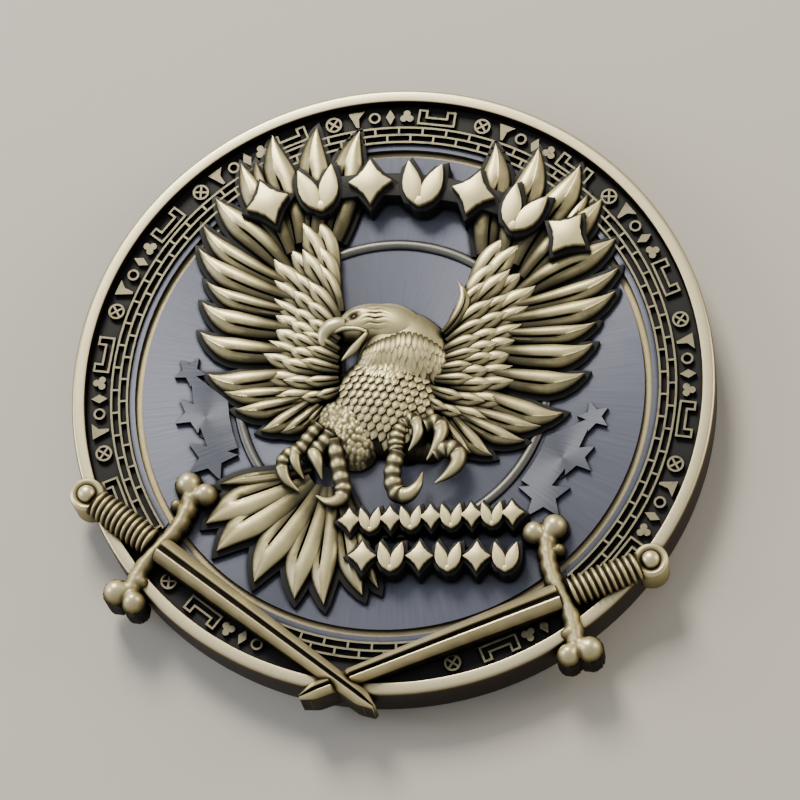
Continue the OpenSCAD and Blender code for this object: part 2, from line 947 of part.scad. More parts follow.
module eagle_thigh() {
    color("#B8B088")
        difference() {
            union() {
                boss(thigh_at * u, thigh_r * u, z_field, 0.5 * breast_h, 0.85 * breast_h);
                pegs(thigh_peg_sites, z_field + 0.1);
            }
            translate([breast_at[0] * u, breast_at[1] * u, z_field - 3])
                cylinder(r = breast_r * u + fit_gap, h = breast_h + 4);
            foot_room(fit_gap);
        }
}

module eagle_neck() {
    color("#D8D0A6") {
        difference() {
            boss(neck_at * u, neck_r * u, z_field, 0.5 * head_h, head_h);
            translate([breast_at[0] * u, breast_at[1] * u, z_field - 1])
                cylinder(r = breast_r * u + fit_gap, h = breast_h + 2);
        }
        pegs(neck_peg_sites, z_field + 0.1);
    }
}

module eagle_head() {
    color("#D8D0A6") {
        difference() {
            union() {
                boss(head_at * u, head_r * u, z_field, 0.5 * head_h, head_h);
                translate([beak_at[0] * u, beak_at[1] * u, 0])
                    arc_bar(beak_arc * u, 60, 200, 0.9 * u, z_field + beak_lift,
                        z_field + 0.8 * head_h);
                translate([(beak_at[0] - beak_arc) * u, (beak_at[1] - 0.3) * u,
                    z_field + 2 * beak_lift])
                    linear_extrude(0.5 * head_h)
                        polygon([[-0.42 * u, 0], [0.42 * u, 0], [0.55 * u, -1.1 * u]]);
            }
            translate([neck_at[0] * u, neck_at[1] * u, z_field - 1])
                cylinder(r = neck_r * u + fit_gap, h = head_h + 2);
            translate([eye_at[0] * u, eye_at[1] * u, z_field + 0.5 * head_h])
                cylinder(r = eye_r * u + fit_gap, h = head_h, $fn = 24);
        }
        pegs(head_peg_sites, z_field + 0.1);
    }
}

eye_at = [-3.5, 5];
eye_r = 0.32;

module eagle_eye() {
    color("#2C2B28")
        translate([eye_at[0] * u, eye_at[1] * u, z_field + 0.5 * head_h]) {
            cylinder(r = eye_r * u, h = 0.45 * head_h, $fn = 24);
            translate([0, 0, 0.45 * head_h])
                sphere(r = eye_r * u, $fn = 24);
        }
}

module lower_beak() {
    color("#D8D0A6")
        difference() {
            translate([0, 0, z_field])
                linear_extrude(0.5 * head_h)
                    polygon([[-2.6, 3.7] * u, [-3.3, 3.1] * u, [-4.5, 1.9] * u,
                        [-4.1, 1.5] * u, [-2.7, 2.5] * u, [-1.8, 2.6] * u]);
            for (at = [head_at, neck_at])
                translate([at[0] * u, at[1] * u, z_field - 1])
                    cylinder(r = (at == head_at ? head_r : neck_r) * u + fit_gap, h = head_h + 2);
        }
}

module toe(c, r, a0, a1, z0, z1) {
    translate([c[0] * u, c[1] * u, 0])
        arc_bar(r * u, a0, a1, toe_w * u, z0, z1);
}

module straight_toe(p, q, z0, z1) {
    d = (q - p) * u;
    w = toe_w * u;
    translate([p[0] * u, p[1] * u, 0])
        rotate([0, 0, atan2(d[1], d[0])]) {
            straight_bar(norm(d), w, z0, z1);
        }
}

module claw(p, a, z0, z1) {
    w = toe_w * u;
    translate([p[0] * u, p[1] * u, z0])
        rotate([0, 0, a])
            linear_extrude(z1 - z0)
                polygon([[0, -w / 2], [0.6 * w, -0.36 * w], [1.7 * w, 0.1 * w],
                    [0.6 * w, 0.42 * w], [0, w / 2]]);
}

// Toes of the right foot: centre, radius, start and end of the bend, drop of the top
right_toes = [[[2, -4.4], 1.2, 0, 200, 0], [[3.4, -4.6], 1.3, -30, 90, 0.11],
    [[4.6, -6.2], 1.3, -50, 130, 0.27], [[2.5, -7.3], 1.2, 175, 330, 0.17]];

module right_foot() {
    z1 = z_field + 0.85 * breast_h;
    color("#D8D0A6") {
        right_toe(0, z1);
        right_toe(1, z1);
        right_toe(2, z1);
        right_toe(3, z1);
        straight_toe([0.9, -4.4], [1.3, -7.4], z_field + 4 * toe_stagger, z1 - 0.05);
        straight_toe([3.2, -4.4], [4.3, -5.1], z_field + 5 * toe_stagger, z1 - 0.2);
        pegs(foot_peg_sites, z_field + 0.5);
    }
}

module right_toe(i, z1) {
    t = right_toes[i];
    toe(t[0], t[1], t[2], t[3], z_field + i * toe_stagger, z1 - t[4]);
}

// A talon stands against the flat end of its toe
module talon(t, at_end, z0, z1) {
    a = at_end ? t[3] : t[2];
    translate([t[0][0] * u + t[1] * cos(a) * u, t[0][1] * u + t[1] * sin(a) * u, 0])
        rotate([0, 0, a + (at_end ? 90 : -90)])
            translate([fit_gap, 0, 0])
                claw([0, 0], 0, z0, z1);
}

module right_talons() {
    z1 = z_field + 0.85 * breast_h - toe_w * u / 2;
    color("#E0D9B0") {
        talon(right_toes[1], false, z_field, z1);
        talon(right_toes[2], false, z_field, z1);
        talon(right_toes[3], true, z_field, z1);
    }
}

foot_spots = [[3, -5.7, 3.1], [-4.9, -7.2, 2.5]];

module foot_room(g) {
    for (f = foot_spots)
        translate([f[0] * u, f[1] * u, z_field - 1])
            cylinder(r = f[2] * u + g, h = breast_h + 2);
}

module left_foot() {
    z0 = z_wing + feather_h + 0.25;
    z1 = z0 + 0.9;
    d = toe_stagger;
    color("#D8D0A6") {
        straight_toe([-4, -5.6], [-2.9, -8.6], z0, z1);
        toe([-3.8, -8.5], 1, 200, 360, z0 + d, z1 - d);
        toe([-5.7, -7.1], 1.5, 80, 235, z0 + 2 * d, z1 - 2 * d);
        straight_toe([-3.9, -5.7], [-5.7, -5.6], z0 + 3 * d, z1 - 0.5 * d);
        straight_toe([-4, -5.8], [-5, -7.6], z0 + 4 * d, z1 - 1.5 * d);
        claw([-4.6, -9], 150, z0 + 5 * d, z1 - 0.3);
        claw([-6.6, -8.3], -60, z0 + 5 * d, z1 - 0.3);
        claw([-5, -7.6], -110, z0 + 5 * d, z1 - 0.3);
        translate([left_foot_peg_sites[0][0] * u, left_foot_peg_sites[0][1] * u, z_field])
            cylinder(r = ankle_r, h = z1 - 0.35 - z_field);
        pegs(left_foot_peg_sites, z_field + 0.1);
    }
}

/* ---- stars ---- */
star_turns = [[15.9, -0.6, 1.3], [14.9, -4, 1.7], [13, -7.4, 2.1]];

module star_shape(r, turn) {
    polygon([for (i = [0:9]) polar(r * (i % 2 == 0 ? 1 : 0.45), turn + i * 36)]);
}

module star_plate(side) {
    difference() {
        wing_side(side) {
            translate([0, 0, z_field])
                linear_extrude(contour_t) {
                    for (s = star_turns)
                        translate([-s[0] * u, s[1] * u])
                            star_shape(s[2] * u, 90 - 6 * s[0]);
                    polygon(concat([for (s = star_turns) [-s[0] * u, s[1] * u]],
                        [for (a = [210:-6:192]) polar(12.8 * u, a)]));
                }
        }
        wing_side(side)
            translate([0, 0, z_field - 1])
                linear_extrude(contour_t + 2) {
                    feather_shapes((contour_step + fit_gap) * u);
                    hub_shape(backing_share + 0.01);
                    tail_shapes((contour_step + fit_gap) * u);
                }
        translate([0, 0, z_field - 1])
            linear_extrude(contour_t + 2) {
                upper_row_plan(fit_gap);
                lower_row_plan(fit_gap);
            }
        guard_prism(side, fit_gap, z_field - 1, z_rim);
    }
    pegs([for (p = star_peg_sites) mirror_x(p, side)], z_field + 0.1);
}

module star_plate_left() {
    color("#8A8F93")
        star_plate(-1);
}

module star_plate_right() {
    color("#8A8F93")
        star_plate(1);
}

/* ---- ornament rows ---- */
title_count = 7;
title_arc = 25.4;
title_step = 9.3;
z_title = z_wing + 0.15 + feather_h + fit_gap;
title_plate_t = 0.4;
row_plate_t = z_title + 0.35 - z_field;

module lozenge(h, w) {
    polygon([[0, h / 2], [0.16 * w, 0.16 * h], [w / 2, 0], [0.16 * w, -0.16 * h],
        [0, -h / 2], [-0.16 * w, -0.16 * h], [-w / 2, 0], [-0.16 * w, 0.16 * h]]);
}

module leaf_pair(h, w) {
    for (s = [-1, 1])
        polygon([[s * 0.04 * w, -h / 2], [s * w / 2, -0.12 * h], [s * 0.42 * w, h / 2],
            [s * 0.1 * w, 0.12 * h]]);
    translate([0, -h * 0.42])
        circle(r = 0.12 * w, $fn = 20);
}

module ornament(i, h, w) {
    if (i % 2 == 0)
        lozenge(h, w);
    else
        leaf_pair(h, w);
}

module title_frame(i) {
    translate([0, -8.9 * u])
        rotate([0, 0, -(i - (title_count - 1) / 2) * title_step])
            translate([0, title_arc * u])
                children();
}

module title_plate_plan(count, half) {
    for (i = [0:title_count - 1])
        if (abs(i - (title_count - 1) / 2) <= count)
            title_frame(i)
                circle(r = (title_size / 2 + half) * u, $fn = 48);
    polygon(concat([for (i = [-count:0.25:count]) [0, -8.9 * u] + polar((title_arc + 1) * u,
        90 - i * title_step)], [for (i = [count:-0.25:-count]) [0, -8.9 * u]
        + polar((title_arc - 1) * u, 90 - i * title_step)]));
}

module title_plate() {
    color("#2C2B28") {
        translate([0, 0, z_title])
            linear_extrude(title_plate_t)
                title_plate_plan((title_count - 1) / 2, 0.35);
        difference() {
            translate([0, 0, z_field])
                linear_extrude(z_title + e - z_field)
                    title_plate_plan(0.5, 0.1);
            for (side = [-1, 1])
                wing_side(side)
                    translate([0, 0, z_field - 1])
                        linear_extrude(z_title - z_field + 1)
                            feather_shapes((contour_step + fit_gap) * u);
        }
        pegs(title_peg_sites, z_field + 0.1);
    }
}

module title_marks() {
    color("#E0D9B0")
        for (i = [0:title_count - 1])
            title_frame(i)
                translate([0, 0, z_title + title_plate_t])
                    linear_extrude(title_rise)
                        ornament(i, title_size * u, 0.78 * title_size * u);
}

upper_from = [-1.2, -11.7];
upper_to = [11, -9.6];
upper_count = 9;
lower_from = [0.2, -14.4];
lower_to = [11, -13.1];
lower_count = 6;

module row_frame(from, to, count, i) {
    d = to - from;
    translate((from + d * i / (count - 1)) * u)
        rotate([0, 0, atan2(d[1], d[0])])
            children();
}

module row_plan(from, to, count, size, g) {
    d = (to - from) * u;
    row_frame(from, to, count, 0)
        translate([0, -size * 0.36 * u - g])
            square([norm(d), size * 0.72 * u + 2 * g]);
    for (i = [0:count - 1])
        row_frame(from, to, count, i)
            circle(r = size * 0.56 * u + g, $fn = 32);
}

module upper_row_plan(g) {
    row_plan(upper_from, upper_to, upper_count, upper_size, g);
}

module lower_row_plan(g) {
    row_plan(lower_from, lower_to, lower_count, lower_size, g);
}

module row_marks(from, to, count, size) {
    difference() {
        for (i = [0:count - 1])
            row_frame(from, to, count, i)
                translate([0, 0, z_field + row_plate_t])
                    linear_extrude(0.8 * title_rise)
                        ornament(i, size * u, 0.72 * size * u);
        guard_prism(1, fit_gap, z_field, z_rim + 1);
    }
}

// The rows stand on the field and bridge the tail feathers
module over_tail() {
    difference() {
        translate([0, 0, z_field])
            linear_extrude(row_plate_t)
                children();
        translate([0, 0, z_field - 1])
            linear_extrude(z_title - z_field + 1)
                tail_shapes((contour_step + fit_gap) * u);
        guard_prism(1, fit_gap, z_field - 1, z_title + 1);
    }
}

module upper_row_plate() {
    color("#2C2B28") {
        over_tail()
            upper_row_plan(0);
        pegs(upper_peg_sites, z_field + 0.1);
    }
}

module lower_row_plate() {
    color("#2C2B28") {
        over_tail()
            lower_row_plan(0);
        pegs(lower_peg_sites, z_field + 0.1);
    }
}

module upper_row_marks() {
    color("#E0D9B0")
        row_marks(upper_from, upper_to, upper_count, upper_size);
}

module lower_row_marks() {
    color("#E0D9B0")
        row_marks(lower_from, lower_to, lower_count, lower_size);
}

/* ---- back ---- */
back_lip = 0.15;
back_plate_t = 0.35;
z_back_plate = z_back - back_plate_t;
back_split = 19.5;
back_reach = 0.7;
back_peg_sites = [[0, 9.5], [0, -9.5]];
back_border_sites = [[21.8, 0], [-21.8, 0], [0, 21.8]];

module back_pegs(sites) {
    for (p = sites)
        translate([p[0] * u, p[1] * u, z_back - 0.1])
            cylinder(r = peg_r, h = back_reach + 0.1, $fn = 24);
}

module back_holes(sites) {
    for (p = sites)
        translate([p[0] * u, p[1] * u, z_back - 1])
            cylinder(r = hole_r, h = back_reach + 1 + 2 * fit_gap, $fn = 24);
}

module back_plate() {
    color("#59607A") {
        disc(back_split * u - fit_gap, z_back_plate, z_back);
        back_pegs(back_peg_sites);
    }
}

module back_border() {
    color("#2C2B28") {
        washer(recess_r - fit_gap, back_split * u, z_back_plate, z_back);
        for (r = [recess_r - 0.5 * u, back_split * u])
            washer(r + 0.4 * u, r, back_lip, z_back_plate + e);
        back_pegs(back_border_sites);
    }
}

module back_bars() {
    n = 5 * border_units;
    color("#B8B088")
        for (i = [0:n - 1])
            rotate([0, 0, i * 360 / n])
                translate([0, 0, back_lip])
                    linear_extrude(z_back_plate - back_lip)
                        polygon([[21, -0.5] * u, [22.6, 0.1] * u, [22.6, 0.7] * u, [21, 0.1] * u]);
}

module leaf(at, a, len) {
    half = 0.24 * len;
    translate([at[0] * u, at[1] * u])
        rotate([0, 0, a])
            polygon([for (i = [0:11]) let (t = i / 6) t <= 1
                ? [len * t, half * sin(180 * pow(t, 0.8))] * u
                : [len * (2 - t), -half * sin(180 * pow(2 - t, 0.8))] * u]);
}

module back_wreath() {
    color("#C9BE8C")
        translate([0, 0, back_lip])
            linear_extrude(z_back_plate - back_lip)
                for (s = [-1, 1], i = [0:9])
                    mirror([s > 0 ? 1 : 0, 0, 0])
                        let (a = -82 + i * 16.5) {
                            leaf(polar(15, a), a + 62, 3.4);
                            leaf(polar(15, a), a + 128, 3);
                            polygon([polar(15.25 * u, a - 1), polar(15.25 * u, a + 17.5),
                                polar(14.75 * u, a + 17.5), polar(14.75 * u, a - 1)]);
                        }
}

module back_ring() {
    color("#C9BE8C")
        washer(10.2 * u, 9.4 * u, back_lip, z_back_plate);
}

module back_star() {
    r = 8.2 * u;
    color("#D8D0A6")
        translate([0, 0, back_lip])
            linear_extrude(z_back_plate - back_lip)
                star_shape(r, 90);
}

coin_body();
field_plate();
centre_disc();
centre_ring();
border_ring();
step_ring();
brick_course();
border_roundels();
border_keys();
border_marks();
star_plate_left();
star_plate_right();
wing_backing_left();
wing_backing_right();
outer_feathers_left();
outer_feathers_right();
coverts_left();
coverts_right();
tail_backing();
tail_feathers();
eagle_body();
eagle_thigh();
eagle_neck();
eagle_head();
eagle_eye();
lower_beak();
left_foot();
right_foot();
right_talons();
title_plate();
title_marks();
upper_row_plate();
upper_row_marks();
lower_row_plate();
lower_row_marks();
left_blade();
right_blade();
left_guard();
right_guard();
left_grip();
right_grip();
left_pommel();
right_pommel();
back_plate();
back_border();
back_bars();
back_wreath();
back_ring();
back_star();
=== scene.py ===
"""Looks of a challenge coin with an eagle in relief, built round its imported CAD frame.

Every plan size below is in millimetres on a 50 mm coin, in the frame of the CAD:
origin at the centre of the blank on the plane it rests on, +Z out of the eagle
side, +Y to the top of the design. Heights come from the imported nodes.
"""

import logging
import math
import random
from collections.abc import Callable, Sequence
from dataclasses import dataclass, replace
from enum import Enum

import bmesh
import bpy
import numpy as np
from mathutils import Matrix, Vector, noise


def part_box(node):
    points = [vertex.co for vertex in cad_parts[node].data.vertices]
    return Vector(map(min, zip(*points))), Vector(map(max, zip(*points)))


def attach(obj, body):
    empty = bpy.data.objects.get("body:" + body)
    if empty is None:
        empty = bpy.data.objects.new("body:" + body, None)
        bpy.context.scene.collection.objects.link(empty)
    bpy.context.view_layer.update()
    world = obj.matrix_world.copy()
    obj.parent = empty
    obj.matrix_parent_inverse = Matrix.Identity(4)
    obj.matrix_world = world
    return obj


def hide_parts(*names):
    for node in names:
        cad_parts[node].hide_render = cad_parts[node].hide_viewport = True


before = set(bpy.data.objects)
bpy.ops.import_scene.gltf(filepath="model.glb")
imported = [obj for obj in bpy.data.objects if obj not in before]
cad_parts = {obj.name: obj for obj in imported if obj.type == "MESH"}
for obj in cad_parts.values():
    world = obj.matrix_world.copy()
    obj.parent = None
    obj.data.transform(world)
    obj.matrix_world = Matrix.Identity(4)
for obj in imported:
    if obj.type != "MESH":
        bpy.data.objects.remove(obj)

MM = 0.001
# Corner layer that sets how pale a finish is: how far a spot stands out, and on round bars also a
# painted light on their upper side.
RELIEF = "relief"
# Radius in mm of the coin that the plan of every piece is drawn for
NOMINAL_RADIUS = 25
log = logging.getLogger("coin")

Point = tuple[float, float]
Height = Callable[[float, float], float]
Placed = tuple[tuple[float, float, float], float]


class Side(Enum):
    """The half of the design a mirrored piece stands on."""

    LEFT = -1
    RIGHT = 1


class Signal(Enum):
    """What tells a finish how pale a spot is: its relief, or how far its face turns up, which is
    painted light.
    """

    RELIEF = "relief"
    FACING = "facing"
    FACING_DOWN = "facing_down"
    FACING_BOTH = "facing_both"


class Brushing(Enum):
    """Direction of the fine lines left by the brush."""

    NONE = "none"
    RADIAL = "radial"


# ---------------------------------------------------------------- finishes


def linear(code: str) -> tuple[float, float, float, float]:
    """Turns an sRGB hex colour into linear values.

    Args:
        code: six hex digits after a hash sign.

    Returns:
        Linear red, green, blue and an alpha of one.
    """
    parts = [int(code[i : i + 2], 16) / 255 for i in (1, 3, 5)]
    low = [c / 12.92 if c <= 0.04045 else ((c + 0.055) / 1.055) ** 2.4 for c in parts]
    return (*low, 1.0)


def add(
    tree: bpy.types.NodeTree, kind: str, inputs: dict | None = None, **settings
) -> bpy.types.Node:
    """Adds one shader node.

    Args:
        tree: node tree of the material.
        kind: Blender's name for the node.
        inputs: value or source socket for each named or numbered input.
        settings: properties of the node itself.

    Returns:
        The new node.
    """
    made = tree.nodes.new(kind)
    for key, value in settings.items():
        setattr(made, key, value)
    for key, value in (inputs or {}).items():
        if isinstance(value, bpy.types.NodeSocket):
            tree.links.new(value, made.inputs[key])
        else:
            made.inputs[key].default_value = value
    return made


@dataclass(frozen=True)
class Patina:
    """A metal that is darkened all over and then rubbed bright where it stands out.

    The ramp runs from the dark left in the hollows to the rubbed metal on the
    highest spots. Blotches move that border about, as a hand-rubbed finish does.
    Part of the dark is painted shade: ambient occlusion darkens the hollows, and a
    facing signal darkens the walls and lightens the faces that turn up, as painted light.
    """

    name: str
    low: str
    middle: str
    high: str
    polish: float = 0.34
    dull: float = 0.62
    metal: float = 0.75
    hollow_shade_mm: float = 0.45
    signal: Signal = Signal.RELIEF
    brushing: Brushing = Brushing.NONE
    blotch_mm: float = 1.4
    blotch: float = 0.3
    grain_mm: float = 0.12
    grain: float = 0.12
    knee: float = 0.5
    anisotropy: float = 0.0

    def build(self) -> bpy.types.Material:
        """Makes the material.

        Returns:
            A material with nodes for colour, roughness and bump.
        """
        mat = bpy.data.materials.new(self.name)
        mat.use_nodes = True
        tree = mat.node_tree
        tree.nodes.clear()
        place = add(tree, "ShaderNodeTexCoord").outputs["Object"]
        raised_or_lit = self._raised_or_lit(tree)
        blotch = add(
            tree, "ShaderNodeTexNoise",
            {"Vector": place, "Scale": 1 / (self.blotch_mm * MM), "Detail": 4.0},
        ).outputs["Fac"]
        moved = add(
            tree, "ShaderNodeMath", {0: blotch, 1: self.blotch, 2: -0.5 * self.blotch},
            operation="MULTIPLY_ADD",
        ).outputs[0]
        worn_or_lit = add(tree, "ShaderNodeMath", {0: raised_or_lit, 1: moved}, operation="ADD").outputs[0]
        # Painted shade: ambient occlusion darkens the hollows, along with the dark patina left in
        # them.
        occlusion_shade = add(
            tree, "ShaderNodeAmbientOcclusion", {"Distance": self.hollow_shade_mm * MM}, samples=8
        ).outputs["AO"]
        hollow_patina_and_shade = add(
            tree, "ShaderNodeMapRange", {"Value": occlusion_shade, "From Min": 0.25, "From Max": 0.92}
        ).outputs["Result"]
        level = add(
            tree, "ShaderNodeMath", {0: worn_or_lit, 1: hollow_patina_and_shade}, operation="MULTIPLY", use_clamp=True
        ).outputs[0]
        ramp = add(tree, "ShaderNodeValToRGB", {"Fac": level})
        stops = ramp.color_ramp.elements
        stops[0].position, stops[0].color = 0.08, linear(self.low)
        stops[1].position, stops[1].color = 0.96, linear(self.high)
        middle = stops.new(self.knee)
        middle.color = linear(self.middle)
        brushed = self._brushed(tree, place)
        tint = add(
            tree, "ShaderNodeMix", {"Factor": 0.16, 6: ramp.outputs["Color"], 7: brushed},
            data_type="RGBA", blend_type="OVERLAY",
        ).outputs[2]
        rough = add(
            tree, "ShaderNodeMapRange", {"Value": level, "To Min": self.dull, "To Max": self.polish}
        ).outputs["Result"]
        spread = add(
            tree, "ShaderNodeMath", {0: brushed, 1: 0.12, 2: rough}, operation="MULTIPLY_ADD"
        ).outputs[0]
        bump = add(
            tree, "ShaderNodeBump",
            {"Height": brushed, "Strength": self.grain, "Distance": 0.04 * MM},
        ).outputs["Normal"]
        shader = add(
            tree,
            "ShaderNodeBsdfPrincipled",
            {
                "Base Color": tint, "Metallic": self.metal, "Roughness": spread, "Normal": bump,
                "Anisotropic": self.anisotropy,
            },
        )
        if self.anisotropy:
            turned = add(tree, "ShaderNodeTangent", direction_type="RADIAL", axis="Z")
            tree.links.new(turned.outputs[0], shader.inputs["Tangent"])
        add(tree, "ShaderNodeOutputMaterial", {"Surface": shader.outputs[0]})
        return mat

    def _raised_or_lit(self, tree: bpy.types.NodeTree) -> bpy.types.NodeSocket:
        """Gives how pale a spot is, from 0 to 1: how far it stands out, or with a facing signal how
        far its face turns up, a painted light that leaves the walls in painted shade.

        Args:
            tree: node tree of the material.

        Returns:
            The socket that carries it.
        """
        if self.signal is Signal.RELIEF:
            return add(tree, "ShaderNodeAttribute", attribute_name=RELIEF).outputs["Fac"]
        # Painted light from above: the finish follows how far the face turns up, pale on tops and
        # dark down the walls.
        normal = add(tree, "ShaderNodeNewGeometry").outputs["Normal"]
        up = add(tree, "ShaderNodeSeparateXYZ", {"Vector": normal}).outputs["Z"]
        if self.signal is Signal.FACING_BOTH:
            up = add(tree, "ShaderNodeMath", {0: up}, operation="ABSOLUTE").outputs[0]
        sign = -1.0 if self.signal is Signal.FACING_DOWN else 1.0
        return add(
            tree, "ShaderNodeMapRange",
            {"Value": up, "From Min": 0.1 * sign, "From Max": 0.95 * sign},
        ).outputs["Result"]

    def _brushed(
        self, tree: bpy.types.NodeTree, place: bpy.types.NodeSocket
    ) -> bpy.types.NodeSocket:
        """Adds the fine surface pattern.

        Args:
            tree: node tree of the material.
            place: object coordinates.

        Returns:
            The socket of the pattern, about 0 to 1.
        """
        scale = 1 / (self.grain_mm * MM)
        if self.brushing is Brushing.NONE:
            return add(
                tree, "ShaderNodeTexNoise", {"Vector": place, "Scale": scale, "Detail": 3.0}
            ).outputs["Fac"]
        axes = add(tree, "ShaderNodeSeparateXYZ", {"Vector": place}).outputs
        angle = add(
            tree, "ShaderNodeMath", {0: axes["Y"], 1: axes["X"]}, operation="ARCTAN2"
        ).outputs[0]
        length = add(tree, "ShaderNodeVectorMath", {0: place}, operation="LENGTH").outputs["Value"]
        out = add(
            tree, "ShaderNodeMath", {0: length, 1: 0.04 * scale}, operation="MULTIPLY"
        ).outputs[0]
        across = add(
            tree, "ShaderNodeMath", {0: angle, 1: 0.016 * scale}, operation="MULTIPLY"
        ).outputs[0]
        lines = add(tree, "ShaderNodeCombineXYZ", {"X": across, "Y": out})
        return add(
            tree, "ShaderNodeTexNoise", {"Vector": lines.outputs[0], "Scale": 1.0, "Detail": 4.0}
        ).outputs["Fac"]


# Antique brass plate on zinc: pale and slightly green where rubbed, near black in the hollows,
# satin, with cloudy edges to the dark. The black in the hollows is dark patina together with
# painted shade.
ANTIQUE_BRASS = Patina("antique_brass", "#0B0B0D", "#645F48", "#EFE4B2")
# The same plate on big open shapes, rubbed to an even satin.
RUBBED_BRASS = Patina("rubbed_brass", "#1C170F", "#9A8F64", "#F6EBBE", blotch=0.2)
# Polished brass of the large ornaments: brightest, black down their sides, where the black is a
# painted shadow.
POLISHED_BRASS = Patina("polished_brass", "#0E0D0C", "#968C68", "#F0E4B4", blotch=0.14, knee=0.4)
# Greyer and warmer plate of the grips and blades.
GREY_BRASS = Patina("worn_brass", "#120E09", "#7A6E4C", "#EEE3B4", blotch=0.26)
# Blackened plate left unrubbed, matt, with a few grey rubs and a painted light that greys the faces
# turning up.
DARK_PATINA = Patina(
    "dark_patina", "#050507", "#090A0D", "#14161B", polish=0.45, dull=0.7, metal=0.3,
    signal=Signal.FACING, blotch=0.6, knee=0.75,
)
# Thin raised lines of the border, pale on top and black down their sides by how far each face turns
# up: painted light on top and painted shade down the sides.
BORDER_BRASS = Patina(
    "border_brass", "#0C0C0D", "#2C2C2C", "#96917A", polish=0.4, dull=0.6, signal=Signal.FACING,
    blotch=0.8, blotch_mm=0.7, knee=0.66,
)
# Rims: pale polished tops over brown side walls, picked by how far each face turns up or down; the
# brown of the walls is a painted reflection of a brown cloth.
RIM_BRASS = Patina(
    "rim_brass", "#2A1D10", "#75613A", "#F4EAC2", polish=0.28, dull=0.42, signal=Signal.FACING_BOTH,
    blotch=0.16,
)
# Blue grey translucent lacquer over radially brushed metal, paler where a face turns up: painted
# light.
SLATE_LACQUER = Patina(
    "slate_lacquer", "#1B1F2C", "#373C50", "#6E7386", polish=0.36, dull=0.46, metal=0.55,
    signal=Signal.FACING, brushing=Brushing.RADIAL, blotch_mm=9, blotch=0.9, grain_mm=0.2,
    grain=0.25, knee=0.6, anisotropy=0.6,
)
# The same lacquer worn thin to grey metal, on rings and plates a step higher, paler where a face
# turns up: painted light.
WORN_SLATE = Patina(
    "worn_slate", "#121318", "#434650", "#7C7D7A", polish=0.36, dull=0.46, metal=0.7,
    signal=Signal.FACING, brushing=Brushing.RADIAL, blotch_mm=4, blotch=0.6, grain_mm=0.2,
    grain=0.15, knee=0.62, anisotropy=0.4,
)
# The lacquer on the star plates, paler on top, a painted light, and darker round the edges, a
# painted shade from ambient occlusion.
STAR_SLATE = replace(
    SLATE_LACQUER, name="star_slate", low="#0C0E16", middle="#333849", high="#6A6F7E", hollow_shade_mm=0.8
)
# The back pieces, seen from below: the same painted light, on faces that turn down.
SLATE_BACK = replace(SLATE_LACQUER, name="slate_back", signal=Signal.FACING_DOWN)
DARK_BACK = replace(DARK_PATINA, name="dark_back", signal=Signal.FACING_DOWN)
BRASS_BACK = replace(RIM_BRASS, name="brass_back", signal=Signal.FACING_DOWN)
FINISHES = (
    SLATE_BACK, DARK_BACK, BRASS_BACK, ANTIQUE_BRASS, RUBBED_BRASS, POLISHED_BRASS, GREY_BRASS,
    DARK_PATINA, BORDER_BRASS, RIM_BRASS, SLATE_LACQUER, STAR_SLATE, WORN_SLATE,
)


@dataclass(frozen=True)
class PaleGround:
    """Plain matt pale sheet the coin lies on, with a faint paper tooth."""

    colour: str = "#D9D6CF"
    tooth_mm: float = 0.6

    def build(self) -> bpy.types.Material:
        """Makes the material.

        Returns:
            A matt material.
        """
        mat = bpy.data.materials.new("pale_ground")
        mat.use_nodes = True
        tree = mat.node_tree
        tree.nodes.clear()
        place = add(tree, "ShaderNodeTexCoord").outputs["Object"]
        tooth = add(
            tree, "ShaderNodeTexNoise", {"Vector": place, "Scale": 1 / (self.tooth_mm * MM)}
        ).outputs["Fac"]
        bump = add(
            tree, "ShaderNodeBump", {"Height": tooth, "Strength": 0.05, "Distance": 0.1 * MM}
        )
        shader = add(
            tree, "ShaderNodeBsdfPrincipled",
            {"Base Color": linear(self.colour), "Roughness": 0.9, "Normal": bump.outputs["Normal"]},
        )
        add(tree, "ShaderNodeOutputMaterial", {"Surface": shader.outputs[0]})
        return mat


# ---------------------------------------------------------------- mesh tools


def polar(radius: float, degrees: float) -> np.ndarray:
    """Gives the plan point at a radius and an angle from +X."""
    a = math.radians(degrees)
    return np.array([radius * math.cos(a), radius * math.sin(a)])


def flat(z: float) -> Height:
    """Gives a height that is the same everywhere."""
    return lambda x, y: z


